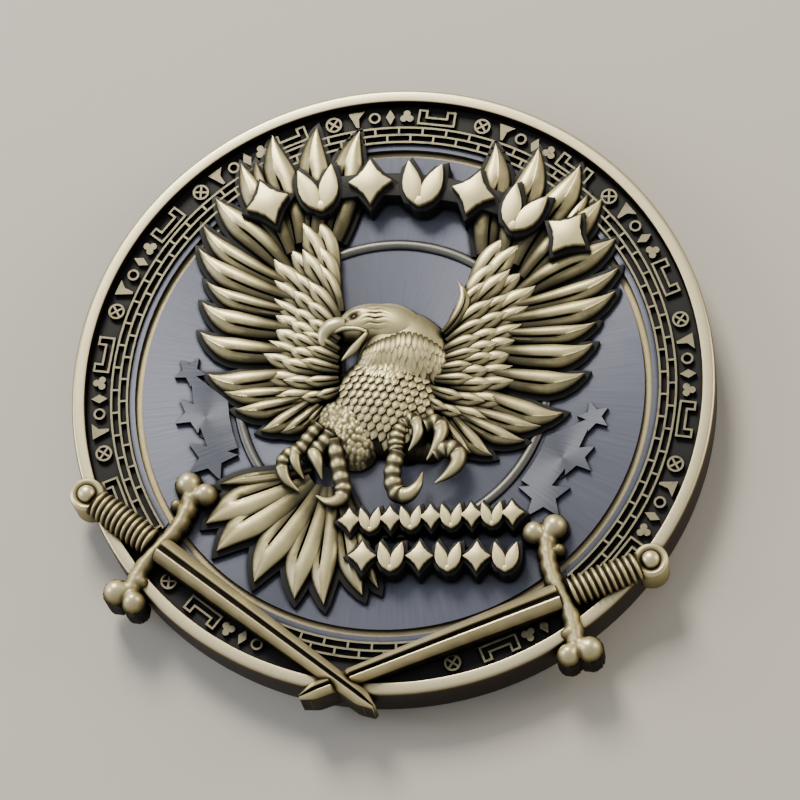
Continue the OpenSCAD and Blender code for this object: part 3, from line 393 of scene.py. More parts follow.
class Piece:
    """A mesh under construction that keeps a relief value at each corner."""

    def __init__(self) -> None:
        """Starts an empty mesh with its relief layer."""
        self.bm = bmesh.new()
        self.relief = self.bm.verts.layers.float.new(RELIEF)

    def patch(self, along: int, across: int, place: Callable[[float, float], Placed]) -> list:
        """Adds a sheet of faces and moves its corners into place.

        Args:
            along: faces along the sheet.
            across: faces across it.
            place: gives the point in mm and the relief for s in 0..1 and t in -1..1.

        Returns:
            The new corners.
        """
        made = bmesh.ops.create_grid(self.bm, x_segments=along, y_segments=across, size=1.0)
        for v in made["verts"]:
            at, relief = place((v.co.x + 1) / 2, v.co.y)
            v.co = Vector(at) * MM
            v[self.relief] = relief
        return made["verts"]

    def skirt(self, corners: Sequence, seat: Height, relief: float = 0.0) -> None:
        """Draws the open border of some corners down to a seat.

        Args:
            corners: corners of one open sheet.
            seat: height of the seat in mm at a plan point.
            relief: relief value at the foot.
        """
        edges = list({e for v in corners for e in v.link_edges if e.is_boundary})
        made = bmesh.ops.extrude_edge_only(self.bm, edges=edges)["geom"]
        for v in made:
            if isinstance(v, bmesh.types.BMVert):
                v.co.z = seat(v.co.x / MM, v.co.y / MM) * MM
                v[self.relief] = relief

    def lathe(
        self,
        profile: Sequence[tuple[float, float, float]],
        steps: int = 256,
        at: Point = (0.0, 0.0),
    ) -> None:
        """Spins a closed profile a full turn about an upright axis.

        Args:
            profile: radius, height and relief of each corner, in mm.
            steps: steps in the turn.
            at: plan point of the axis in mm.
        """
        corners = []
        for r, z, relief in profile:
            v = self.bm.verts.new(((at[0] + r) * MM, at[1] * MM, z * MM))
            v[self.relief] = relief
            corners.append(v)
        edges = [self.bm.edges.new(p) for p in zip(corners, corners[1:] + corners[:1])]
        bmesh.ops.spin(
            self.bm, geom=corners + edges, cent=(at[0] * MM, at[1] * MM, 0), axis=(0, 0, 1),
            angle=2 * math.pi, steps=steps, use_merge=True,
        )
        bmesh.ops.remove_doubles(self.bm, verts=self.bm.verts, dist=0.0005 * MM)

    def slab(
        self, outline: Sequence[Point], z0: float, z1: float, edge: float = 0.07, top: float = 1.0
    ) -> None:
        """Adds an upright plate with rounded upper edges.

        Args:
            outline: plan points in mm, going round anticlockwise.
            z0: height of the underside in mm.
            z1: height of the top in mm.
            edge: size of the rounding in mm.
            top: relief value of the top.
        """
        base = [self.bm.verts.new((x * MM, y * MM, z0 * MM)) for x, y in outline]
        face = self.bm.faces.new(base)
        made = bmesh.ops.extrude_face_region(self.bm, geom=[face], use_keep_orig=True)
        upper = [v for v in made["geom"] if isinstance(v, bmesh.types.BMVert)]
        faces = [f for f in made["geom"] if isinstance(f, bmesh.types.BMFace)]
        for v in upper:
            v.co.z = z1 * MM
            v[self.relief] = top
        if edge:
            bmesh.ops.bevel(
                self.bm, geom=list({e for f in faces for e in f.edges}), offset=edge * MM,
                offset_type="OFFSET", segments=3, profile=0.5, affect="EDGES", clamp_overlap=True,
                material=-1,
            )

    def tube(
        self,
        path: Sequence[tuple[float, float, float]],
        radii: Sequence[float],
        rings: int = 24,
        sides: int = 14,
        ridge: Callable[[float, float], float] = lambda s, a: 0.0,
        tone: Callable[[float, float, float], float] = lambda s, a, up: 0.3 + 0.7 * max(0.0, up),
    ) -> None:
        """Adds a round bar along a smooth path, closed at its ends.

        Args:
            path: points of the middle line in mm.
            radii: radius at each of them in mm.
            rings: steps along the bar.
            sides: steps round it.
            ridge: share added to the radius for s in 0..1 and the angle round.
            tone: relief for s, the angle round and how far a spot faces up, -1..1; the default
                makes the upper side paler, a painted light from above.
        """
        line, sizes = smooth(path, rings + 1), smooth([(r,) for r in radii], rings + 1)[:, 0]

        def place(s: float, t: float) -> Placed:
            """Gives the place and relief of a spot along and round the tube.

            Args:
                s: share of the way along.
                t: share of the way across.

            Returns:
                The place in mm and its relief.
            """
            i = min(int(round(s * rings)), rings)
            a = math.pi * t
            ahead = line[min(i + 1, rings)] - line[max(i - 1, 0)]
            ahead = ahead / np.linalg.norm(ahead)
            side = np.cross(ahead, (0, 0, 1.0))
            side = side / np.linalg.norm(side)
            up = np.cross(side, ahead)
            r = max(0.0, sizes[i]) * (1 + ridge(s, a))
            if i in (0, rings):
                r = 0.0
            out = math.cos(a) * side + math.sin(a) * up
            return tuple(line[i] + r * out), tone(s, a, out[2] if r else 0.7)

        corners = self.patch(rings, sides, place)
        bmesh.ops.remove_doubles(self.bm, verts=corners, dist=0.0005 * MM)

    def skin(
        self,
        window: tuple[float, float, float, float],
        step: float,
        height: Callable[[np.ndarray, np.ndarray], tuple[np.ndarray, np.ndarray]],
        floor: float,
        foot: Height,
    ) -> None:
        """Adds a modelled surface over a window and walls down to its foot.

        Args:
            window: lowest x and y and highest x and y in mm.
            step: spacing of the corners in mm.
            height: gives heights and relief for arrays of x and y.
            floor: faces with every corner at or under this height are left out.
            foot: height of the foot of the walls in mm.
        """
        x0, y0, x1, y1 = window
        nx, ny = round((x1 - x0) / step), round((y1 - y0) / step)
        made = bmesh.ops.create_grid(self.bm, x_segments=nx, y_segments=ny, size=1.0)["verts"]
        unit = np.array([v.co[:2] for v in made])
        xs = x0 + (unit[:, 0] + 1) / 2 * (x1 - x0)
        ys = y0 + (unit[:, 1] + 1) / 2 * (y1 - y0)
        zs, tones = height(xs, ys)
        low = set()
        for v, x, y, z, tone in zip(made, xs, ys, zs, tones):
            v.co = (x * MM, y * MM, max(z, floor) * MM)
            v[self.relief] = tone
            if z <= floor:
                low.add(v)
        faces = {f for v in made for f in v.link_faces}
        bmesh.ops.delete(
            self.bm, geom=[f for f in faces if all(v in low for v in f.verts)], context="FACES"
        )
        self.skirt([v for v in made if v.is_valid], foot)

    def finish(
        self, name: str, finish: Patina, slot: str, nodes: Sequence[str], crease: float = 40.0
    ) -> bpy.types.Object:
        """Turns the mesh into a piece of the coin.

        Args:
            name: name of the piece.
            finish: its surface.
            slot: not used.
            nodes: CAD nodes it stands for.
            crease: edges sharper than this many degrees stay sharp.

        Returns:
            The finished object.
        """
        bmesh.ops.recalc_face_normals(self.bm, faces=self.bm.faces)
        mesh = bpy.data.meshes.new(name)
        self.bm.to_mesh(mesh)
        self.bm.free()
        mesh.shade_smooth()
        mesh.set_sharp_from_angle(angle=math.radians(crease))
        mesh.materials.append(bpy.data.materials[finish.name])
        piece = bpy.data.objects.new(name, mesh)
        bpy.context.scene.collection.objects.link(piece)
        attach(piece, "root")
        if nodes:
            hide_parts(*nodes)
        log.info("%s: %d faces", name, len(mesh.polygons))
        return piece


def smooth(points: Sequence[Sequence[float]], count: int) -> np.ndarray:
    """Runs a smooth curve through some points.

    Args:
        points: points of any dimension.
        count: number of points wanted, evenly spread along the control points.

    Returns:
        An array with one row for each point of the curve.
    """
    p = np.array(points, float)
    p = np.vstack([2 * p[0] - p[1], p, 2 * p[-1] - p[-2]])
    out = []
    for u in np.linspace(0, len(p) - 3, count):
        i = min(int(u), len(p) - 4)
        f = u - i
        a, b, c, d = p[i : i + 4]
        out.append(
            0.5 * (2 * b + (c - a) * f + (2 * a - 5 * b + 4 * c - d) * f**2)
            + 0.5 * (3 * b - a - 3 * c + d) * f**3
        )
    return np.array(out)


@dataclass(frozen=True)
class Feather:
    """One feather: a curved vane with a groove near its middle and a pointed tip."""

    root: Point
    tip: Point
    width: float
    bow: float = 0.05
    rise: float = 0.7
    lift: float = 0.0
    groove: float = 0.7
    hook: float = 0.0
    tile: float = 0.0
    along: int = 12
    side: int = 1

    COLUMNS = (-1.0, -0.9, -0.62, -0.2, 0.08, 0.17, 0.26, 0.6, 0.88, 1.0)
    SHAPE = (0.3, 0.62, 0.92, 1.0, 0.86, 0.35, 0.6, 0.62, 0.42, 0.12)
    TONES = (0.35, 0.9, 1.0, 0.97, 0.75, 0.0, 0.5, 0.7, 0.55, 0.2)

    def middle(self, s: float) -> np.ndarray:
        """Gives the middle line at the share s of the length."""
        a, d = np.array(self.root), np.subtract(self.tip, self.root)
        n = np.array([-d[1], d[0]])
        aside = n / np.linalg.norm(n) * self.hook * self.width
        curl = max(0.0, (s - 0.6) / 0.4) ** 2
        return a + (d - aside) * s + n * self.bow * 4 * s * (1 - s) + aside * curl

    def girth(self, s: float) -> float:
        """Gives the share of the full width at the share s of the length."""
        body = 0.62 + 0.38 * math.sin(math.pi / 2 * min(1.0, s / 0.6))
        point = 1.0 if s < 0.6 else max(0.0, 1 - ((s - 0.6) / 0.4) ** 1.6)
        return body * point

    def add_to(self, piece: Piece, base: Height, seat: Height | None = None) -> None:
        """Adds the feather to a piece.

        Args:
            piece: the piece that takes it.
            base: height in mm of what the feather lies on.
            seat: height its side walls reach down to, or a little under the base.
        """
        foot = seat or (lambda x, y: base(x, y) - 0.08)

        def place(s: float, t: float) -> Placed:
            """Gives the place and relief of a spot along and across the vane.

            Args:
                s: share of the way along.
                t: share of the way across.

            Returns:
                The place in mm and its relief.
            """
            k = (t + 1) / 2 * (len(self.COLUMNS) - 1)
            grid = range(len(self.COLUMNS))
            col, shape, tone = (
                float(np.interp(k, grid, row)) for row in (self.COLUMNS, self.SHAPE, self.TONES)
            )
            c = self.middle(s)
            d = self.middle(min(1, s + 0.02)) - self.middle(max(0, s - 0.02))
            n = np.array([-d[1], d[0]]) / np.linalg.norm(d)
            p = c - n * col * self.side * self.girth(s) * self.width / 2
            closed = max(0.0, min(1.0, (s - self.groove) / 0.12))
            inside = max(0.0, 1 - abs(col - 0.17) / 0.22)
            shape += inside * closed * (0.92 - shape)
            tone += inside * closed * (0.95 - tone)
            swell = 0.7 + 0.3 * math.sin(math.pi * min(1, s * 1.1)) - 0.35 * max(0, s - 0.8) / 0.2
            z = base(p[0], p[1]) + self.lift + self.rise * shape * swell + self.tile * s
            return (p[0], p[1], z), tone * (0.32 + 0.68 * min(1, s / 0.6))

        corners = piece.patch(self.along, len(self.COLUMNS) - 1, place)
        piece.skirt(corners, foot)

    def outline(self, grow: float) -> list[Point]:
        """Gives the plan outline, grown by some mm, anticlockwise or not.

        Args:
            grow: how far the outline stands outside the vane, in mm.

        Returns:
            The points of the outline.
        """
        left, right = [], []
        for s in np.linspace(0, 1, 9):
            c = self.middle(s)
            d = self.middle(min(1, s + 0.02)) - self.middle(max(0, s - 0.02))
            n = np.array([-d[1], d[0]]) / np.linalg.norm(d)
            half = self.girth(s) * self.width / 2 + grow
            left.append(tuple(c + n * half))
            right.append(tuple(c - n * half))
        d = self.middle(1.0) - self.middle(0.96)
        left.append(tuple(self.middle(1.0) + d / np.linalg.norm(d) * grow * 1.4))
        return right[::1] + left[::-1]


@dataclass(frozen=True)
class Ball:
    """A flattened lump: a plan ellipse that swells to a height over the field."""

    x: float
    y: float
    a: float
    b: float
    h: float
    turn: float = 0.0
    power: float = 0.5

    def swell(self, xs: np.ndarray, ys: np.ndarray) -> np.ndarray:
        """Gives the height of the lump at arrays of plan points."""
        c, s = math.cos(math.radians(self.turn)), math.sin(math.radians(self.turn))
        dx, dy = xs - self.x, ys - self.y
        d = ((dx * c + dy * s) / self.a) ** 2 + ((dy * c - dx * s) / self.b) ** 2
        return self.h * np.clip(1 - d, 0, None) ** self.power


def blended(balls: Sequence[Ball], xs: np.ndarray, ys: np.ndarray, sharp: float = 9) -> np.ndarray:
    """Joins lumps with soft valleys between them.

    Args:
        balls: the lumps.
        xs: plan x of the points in mm.
        ys: plan y of the points in mm.
        sharp: how narrow the valleys are.

    Returns:
        Height over the field at each point.
    """
    return sum(ball.swell(xs, ys) ** sharp for ball in balls) ** (1 / sharp)


def height_at(balls: Sequence[Ball], z: float) -> Height:
    """Gives the blended height of some lumps as a function of one plan point."""
    return lambda x, y: z + float(blended(balls, np.array([x]), np.array([y]))[0])


def shown(node: str, finish: Patina) -> None:
    """Gives a CAD node that stays in view a finish.

    Args:
        node: name of the node.
        finish: its surface.
    """
    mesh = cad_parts[node].data
    mesh.materials.clear()
    mesh.materials.append(bpy.data.materials[finish.name])


@dataclass(frozen=True)
class Levels:
    """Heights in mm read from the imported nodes, and the plan scale."""

    field: float
    wing: float
    rim: float
    back: float
    title: float
    row: float
    scale: float

    @classmethod
    def read(cls) -> "Levels":
        """Reads the levels.

        Returns:
            The levels of this frame.
        """

        def top(node: str) -> float:
            """Gives the top of a node in mm."""
            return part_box(node)[1].z / MM

        return cls(
            field=top("field_plate"), wing=top("wing_backing_left"), rim=top("coin_body"),
            back=top("back_plate"), title=top("title_plate"), row=top("upper_row_plate"),
            scale=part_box("coin_body")[1].y / MM / NOMINAL_RADIUS,
        )


LEVELS = Levels.read()


@dataclass(frozen=True)
class Blank:
    """The round blank: a bead rim on both faces and the posts under the sword ends."""

    rim_width: float = 1.0
    bead: float = 0.3
    edge: float = 0.1
    post_inset: float = 0.06

    def build(self, swords: Sequence["Sword"]) -> bpy.types.Object:
        """Spins the blank and stands the posts beside it.

        Args:
            swords: the swords whose ends stand past the rim.

        Returns:
            The blank.
        """
        piece = Piece()
        out = NOMINAL_RADIUS * LEVELS.scale
        into = out - self.rim_width * LEVELS.scale
        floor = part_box("field_plate")[0].z / MM
        b = self.bead
        arc = [math.radians(a) for a in range(0, 91, 15)]
        low = [(out - b + b * math.sin(a), b - b * math.cos(a), 1.0) for a in arc]
        top = [(out - b + b * math.cos(a), LEVELS.rim - b + b * math.sin(a), 1.0) for a in arc]
        e = self.edge
        lip = [(into + e - e * math.sin(a), LEVELS.rim - e + e * math.cos(a), 1.0) for a in arc]
        under = [
            (0, LEVELS.back, 0.0), (into, LEVELS.back, 0.0), (into, e, 1.0), (into + e, 0, 1.0),
        ]
        piece.lathe(under + low + top + lip + [(into, floor, 0.0), (0, floor, 0.0)])
        for sword in swords:
            for at, radius in sword.ends():
                r = radius - self.post_inset
                foot, head = LEVELS.back, LEVELS.rim - 0.04
                wall = [(0, foot, 0.3), (r - e, foot, 0.3), (r, foot + e, 0.3)]
                cap = [(r, head, 0.3), (0, head, 0.3)]
                if math.hypot(*at) > out - 0.6:
                    piece.lathe(wall + cap, steps=40, at=at)
        return piece.finish("coin_blank", RIM_BRASS, "pale_brass", ["coin_body"], crease=30)


@dataclass(frozen=True)
class Field:
    """The satin field, its centre and the rounded ring between them."""

    ring_radius: float = 12.0
    ring_width: float = 0.85
    dressed: tuple[tuple[str, Patina], ...] = (
        ("field_plate", SLATE_LACQUER), ("centre_disc", SLATE_LACQUER),
        ("border_ring", DARK_PATINA), ("step_ring", SLATE_LACQUER),
        ("brick_course", BORDER_BRASS), ("border_roundels", BORDER_BRASS),
        ("border_keys", BORDER_BRASS), ("border_marks", BORDER_BRASS),
        ("star_plate_left", STAR_SLATE), ("star_plate_right", STAR_SLATE),
    )

    def build(self) -> None:
        """Dresses the plates and spins the ring."""
        for node, finish in self.dressed:
            shown(node, finish)
        r, half = self.ring_radius * LEVELS.scale, self.ring_width / 2 * LEVELS.scale
        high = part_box("centre_ring")[1].z / MM
        base = LEVELS.field - 0.1
        section = [(r - half, base, 0.0)]
        for k in range(9):
            a = math.pi * (1 - k / 8)
            over = LEVELS.field + (high - LEVELS.field) * math.sin(a)
            section.append((r + half * math.cos(a), over, 1.0))
        section.append((r + half, base, 0.0))
        piece = Piece()
        piece.lathe(section)
        piece.finish("centre_ring", WORN_SLATE, "grey_brass", ["centre_ring"])


# Large feathers of the left wing from the top down: tip, root, width
OUTER = (
    ((-5.9, 21.0), (-6.6, 11.5), 2.60), ((-8.75, 18.8), (-8.8, 13.0), 1.02),
    ((-9.35, 21.0), (-8.2, 11.2), 2.49), ((-12.8, 19.9), (-9.2, 10.8), 2.60),
    ((-13.75, 17.5), (-12.0, 12.4), 1.02), ((-14.9, 17.2), (-9.8, 9.8), 2.26),
    ((-16.4, 14.0), (-9.6, 8.4), 2.15), ((-17.0, 11.6), (-9.0, 7.2), 1.69),
    ((-17.0, 9.6), (-8.6, 6.0), 1.92), ((-15.9, 6.9), (-8.4, 5.0), 1.53),
    ((-15.9, 5.1), (-8.4, 3.5), 2.03), ((-15.6, 2.6), (-8.2, 1.7), 1.98),
    ((-14.4, -0.8), (-7.6, 0.0), 2.03), ((-12.9, -2.1), (-6.8, -1.3), 1.47),
    ((-11.8, -3.4), (-6.4, -1.9), 1.47), ((-9.5, -4.9), (-5.8, -2.0), 1.47),
    ((-7.9, -4.9), (-5.2, -2.4), 1.24), ((-6.3, -4.0), (-4.9, -2.4), 0.90),
)
# Tips of the outermost row of small feathers
COVERTS = (
    (-8.0, 13.0), (-9.1, 12.2), (-10.2, 10.5), (-10.8, 8.9), (-10.5, 7.2), (-10.1, 5.5),
    (-10.1, 4.3), (-10.0, 3.2), (-9.9, 1.9), (-10.2, 0.7), (-9.2, -1.5), (-7.5, -2.7),
)


@dataclass(frozen=True)
class Wing:
    """One wing: contour plate, large feathers and three rows of coverts."""

    side: Side
    axis: float = -0.43
    hub_top: Point = (-4.6, 4.9)
    hub_low: Point = (-3.4, -1.6)
    grow: float = 0.42
    rows: tuple[tuple[float, float, float], ...] = (
        (1.0, 0.4, 1.75), (0.78, 0.26, 1.55), (0.54, 0.06, 1.3)
    )
    row_rise: float = 0.2

    # Long wavy feather along the inner edge of the right wing: root, tip, width, lift
    LONG = ((3.5, 4.4), (3.9, 8.9), 1.0, 0.9)

    @property
    def word(self) -> str:
        """Word for the side in piece names."""
        return self.side.name.lower()

    def place(self, p: Sequence[float]) -> Point:
        """Puts a point of the left wing on this side."""
        return tuple(p) if self.side is Side.LEFT else (2 * self.axis - p[0], p[1] + 0.1)

    def feather(self, tip: Sequence[float], root: Sequence[float], **more) -> Feather:
        """Makes a feather of this wing from points of the left one."""
        flip = -1 if self.side is Side.RIGHT else 1
        bow = flip * more.pop("bow", 0.05)
        hook = flip * more.pop("hook", 0.0)
        side = flip * more.pop("side", 1)
        return Feather(self.place(root), self.place(tip), bow=bow, hook=hook, side=side, **more)

    def large(self) -> list[Feather]:
        """Gives the large feathers."""
        made = []
        for i, (tip, root, width) in enumerate(OUTER):
            upper = i < 7
            made.append(
                self.feather(
                    tip, root, width=width, bow=-0.05 if upper else 0.045,
                    hook=-0.38 if i < 13 else -0.2, rise=0.75 if width > 1 else 0.5,
                    lift=0.015 * (i % 3), groove=0.56, side=-1, along=16,
                )
            )
        return made

    def small(self) -> list[Feather]:
        """Gives the feathers of the coverts, outer row first."""
        made = []
        rng = random.Random(5)
        tips = np.array(COVERTS)
        for row, (share, root_share, width) in enumerate(self.rows):
            count = (12, 11, 9)[row]
            for i in range(count):
                k = (i + 0.35 * row) / (count - 0.4) * (len(tips) - 1)
                edge = np.array([np.interp(k, range(len(tips)), tips[:, a]) for a in (0, 1)])
                low = i / count
                hub = np.array(self.hub_top) + np.subtract(self.hub_low, self.hub_top) * low
                reach = share * (1 + 0.07 * rng.uniform(-1, 1))
                tip = hub + (edge - hub) * reach
                root = hub + (edge - hub) * root_share
                made.append(
                    self.feather(
                        tip, root, width=width * (1 - 0.25 * low) * rng.uniform(0.85, 1.1),
                        bow=-0.06 + 0.14 * low, hook=0.3 * (low - 0.45) + 0.12 * rng.uniform(-1, 1),
                        rise=0.42, lift=self.row_rise * (row + 1) + 0.03 * (i % 2), groove=0.6,
                        tile=0.12, side=-1, along=12,
                    )
                )
        if self.side is Side.RIGHT:
            root, tip, width, lift = self.LONG
            made.append(
                Feather(root, tip, width, bow=-0.12, hook=0.7, rise=0.5, lift=lift, along=16)
            )
        return made

    def build(self) -> None:
        """Builds the three pieces of the wing."""
        plate = Piece()
        for i, f in enumerate(self.large()):
            plate.slab(f.outline(self.grow), LEVELS.field, LEVELS.wing - 0.004 * i, edge=0.05)
        inner = [self.hub_low, self.hub_top]
        hub = [self.place(p) for p in [root for _, root, _ in OUTER] + inner]
        plate.slab(hub, LEVELS.field, LEVELS.wing - 0.08, edge=0)
        backing = [f"wing_backing_{self.word}"]
        plate.finish(f"wing_plate_{self.word}", DARK_PATINA, "dark_bronze", backing)
        large = Piece()
        for f in self.large():
            f.add_to(large, flat(LEVELS.wing + 0.1), flat(LEVELS.wing - 0.02))
        outer = [f"outer_feathers_{self.word}"]
        large.finish(f"wing_feathers_{self.word}", ANTIQUE_BRASS, "pale_brass", outer)
        coverts = Piece()
        for f in self.small():
            f.add_to(coverts, flat(LEVELS.wing + 0.1), flat(LEVELS.wing))
        inner = [f"coverts_{self.word}"]
        coverts.finish(f"wing_coverts_{self.word}", ANTIQUE_BRASS, "pale_brass", inner)


@dataclass(frozen=True)
class Tail:
    """The fanned tail and the dark contour plate under it."""

    root: Point = (-3.7, -7.2)
    tips: tuple[Point, ...] = (
        (-11.9, -9.6), (-12.4, -12.9), (-11.2, -15.0), (-7.9, -17.1), (-4.6, -18.0), (-2.3, -18.2),
        (0.5, -17.1), (1.6, -16.4),
    )
    widths: tuple[float, ...] = (1.1, 2.9, 2.8, 2.8, 2.6, 2.2, 2.2, 1.5)
    start: float = 0.16
    grow: float = 0.5

    def feathers(self) -> list[Feather]:
        """Gives the tail feathers."""
        hub = np.array(self.root)
        return [
            Feather(
                tuple(hub + (np.array(tip) - hub) * self.start), tip, width=width, bow=0.03,
                hook=0.32, rise=0.75, lift=0.02 * (i % 3), groove=0.6, along=18,
            )
            for i, (tip, width) in enumerate(zip(self.tips, self.widths))
        ]

    def build(self) -> None:
        """Builds the tail and its plate."""
        plate, vanes = Piece(), Piece()
        for i, f in enumerate(self.feathers()):
            plate.slab(f.outline(self.grow), LEVELS.field, LEVELS.wing - 0.004 * i, edge=0.05)
            f.add_to(vanes, flat(LEVELS.wing + 0.1), flat(LEVELS.wing - 0.02))
        plate.finish("tail_plate", DARK_PATINA, "dark_bronze", ["tail_backing"])
        vanes.finish("tail_fan", ANTIQUE_BRASS, "pale_brass", ["tail_feathers"])


@dataclass(frozen=True)
class Eagle:
    """Body, thigh, neck and head of the eagle with its open hooked beak."""

    body: tuple[Ball, ...] = (
        Ball(-0.1, -1.6, 4.3, 4.3, 2.05, -20, 0.45), Ball(1.7, -4.0, 2.1, 2.2, 1.7, 0, 0.5)
    )
    thigh: tuple[Ball, ...] = (Ball(-2.7, -4.3, 2.3, 3.1, 2.0, 35, 0.45),)
    neck: tuple[Ball, ...] = (
        Ball(0.9, 2.9, 3.8, 3.1, 2.1, -35, 0.4), Ball(-1.3, 2.2, 1.6, 2.6, 1.9, -15, 0.45)
    )
    head: tuple[Ball, ...] = (
        Ball(-2.5, 4.75, 2.7, 1.75, 2.2, 14, 0.4), Ball(-4.5, 4.25, 1.25, 0.8, 1.75, 20, 0.45),
        Ball(-0.6, 4.7, 2.6, 2.0, 2.2, -15, 0.42),
    )
    eye: Point = (-3.55, 4.85)
    crown: tuple[Point, ...] = (
        (-2.0, 3.2), (-1.5, 4.2), (-0.8, 5.0), (0.3, 5.7), (1.6, 5.5), (2.8, 4.7), (3.7, 3.6),
    )
    collar: tuple[Point, ...] = (
        (-2.75, 0.9), (-1.7, 0.2), (-0.4, -0.1), (0.9, 0.1), (2.3, 0.4), (3.5, 0.6), (4.5, 1.3),
    )
    step: float = 0.09

    def build(self) -> None:
        """Builds the pieces of the bird without its feet."""
        self._body()
        self._thigh()
        self._neck()
        self._head()

    def _surface(
        self, balls: Sequence[Ball], window: tuple[float, float, float, float], tone: float
    ) -> Piece:
        """Starts a piece with the plain surface of some lumps.

        Args:
            balls: the lumps that make the shape.
            window: low and high corner of the patch in mm.
            tone: relief of the surface.

        Returns:
            The piece, open below.
        """
        piece = Piece()

        def height(xs: np.ndarray, ys: np.ndarray) -> tuple[np.ndarray, np.ndarray]:
            """Gives the height and relief of the lumps."""
            h = blended(balls, xs, ys)
            return LEVELS.field + h, np.where(h > 0.5, tone, 0.1)

        piece.skin(window, self.step, height, LEVELS.field + 0.3, flat(LEVELS.field))
        return piece

    def _body(self) -> None:
        """Models the breast with its scale-shaped feathers."""
        piece = self._surface(self.body, (-4.8, -6.8, 4.8, 3.2), 0.2)
        base = height_at(self.body, LEVELS.field)
        rng = random.Random(2)
        pitch = 0.62
        for j in range(14):
            for i in range(15):
                x = -4.4 + (i + 0.5 * (j % 2)) * pitch * 1.02 + rng.uniform(-0.05, 0.05)
                y = 2.84 - j * pitch + rng.uniform(-0.04, 0.04)
                lean = -0.35 + 0.06 * x
                tip = (x + lean * 0.9, y - 1.0)
                if max(self._reach(self.body[0], *p) for p in ((x, y), tip)) > 0.93:
                    continue
                Feather(
                    (x, y), tip, width=0.7, bow=0.0, rise=0.15, groove=0.0, tile=0.2, along=6
                ).add_to(piece, base)
        piece.finish("eagle_breast", ANTIQUE_BRASS, "pale_brass", ["eagle_body"])

    @staticmethod
    def _reach(ball: Ball, x: float, y: float) -> float:
        """Gives how far a plan point is from the middle of a lump, 1 at its border."""
        c, s = math.cos(math.radians(ball.turn)), math.sin(math.radians(ball.turn))
        dx, dy = x - ball.x, y - ball.y
        return math.hypot((dx * c + dy * s) / ball.a, (dy * c - dx * s) / ball.b)

    def _thigh(self) -> None:
        """Models the thigh, covered in small round downy lumps."""
        piece = Piece()

        def height(xs: np.ndarray, ys: np.ndarray) -> tuple[np.ndarray, np.ndarray]:
            """Gives the height and relief of the downy thigh.

            Args:
                xs: x of the spots in mm.
                ys: y of the spots in mm.

            Returns:
                Heights in mm and reliefs.
            """
            h = blended(self.thigh, xs, ys)
            near = np.array(
                [noise.voronoi(Vector((x / 0.33, y / 0.42, 0)))[0][0] for x, y in zip(xs, ys)]
            )
            lump = np.clip(1 - near / 0.7, 0, 1)
            return LEVELS.field + h + 0.16 * lump * (h > 0.3), 0.5 + 0.9 * lump

        piece.skin((-5.8, -7.8, 0.4, -1.0), 0.07, height, LEVELS.field + 0.3, flat(LEVELS.field))
        piece.finish("eagle_thigh", ANTIQUE_BRASS, "pale_brass", ["eagle_thigh"])

    def _strands(
        self, piece: Piece, base: Height, top: np.ndarray, foot: np.ndarray, rows: int, size: float
    ) -> None:
        """Lays rows of narrow feathers from a top line to a foot line.

        Args:
            piece: the piece that takes them.
            base: height of what they lie on.
            top: points of the top line.
            foot: points of the foot line.
            rows: number of rows.
            size: width of one feather in mm.
        """
        rng = random.Random(9)
        count = len(top)
        for j in range(rows):
            v = j / rows
            for i in range(count):
                k = min(count - 1, max(0, i + 0.5 * (j % 2)))
                a = np.array([np.interp(k, range(count), top[:, c]) for c in (0, 1)])
                b = np.array([np.interp(k, range(count), foot[:, c]) for c in (0, 1)])
                root = a + (b - a) * max(0, v - 0.08)
                tip = a + (b - a) * min(1.0, v + 1.6 / rows) * rng.uniform(0.88, 1.1)
                Feather(
                    tuple(root), tuple(tip), width=size * rng.uniform(0.85, 1.1),
                    bow=rng.uniform(-0.03, 0.03), rise=0.05 + 0.09 * v, lift=-0.02, tile=0.12,
                    groove=0.0, along=6,
                ).add_to(piece, base)

    def _neck(self) -> None:
        """Models the neck with long hackles that end in a ragged collar."""
        piece = self._surface(self.neck, (-3.6, -0.9, 4.9, 6.6), 0.75)
        neck, breast = height_at(self.neck, LEVELS.field), height_at(self.body, LEVELS.field)

        def base(x: float, y: float) -> float:
            """Gives the height that the hackles lie on."""
            return max(neck(x, y), breast(x, y) + 0.08)

        foot = smooth(self.collar, 19)
        top = foot + (smooth(self.crown, 19) - foot) * 0.7
        self._strands(piece, base, top, foot, 4, 0.62)
        piece.finish("eagle_neck", ANTIQUE_BRASS, "pale_brass", ["eagle_neck"])

    def _head(self) -> None:
        """Models the head with its brow, eye and two halves of the beak."""
        piece = Piece()
        ex, ey = self.eye

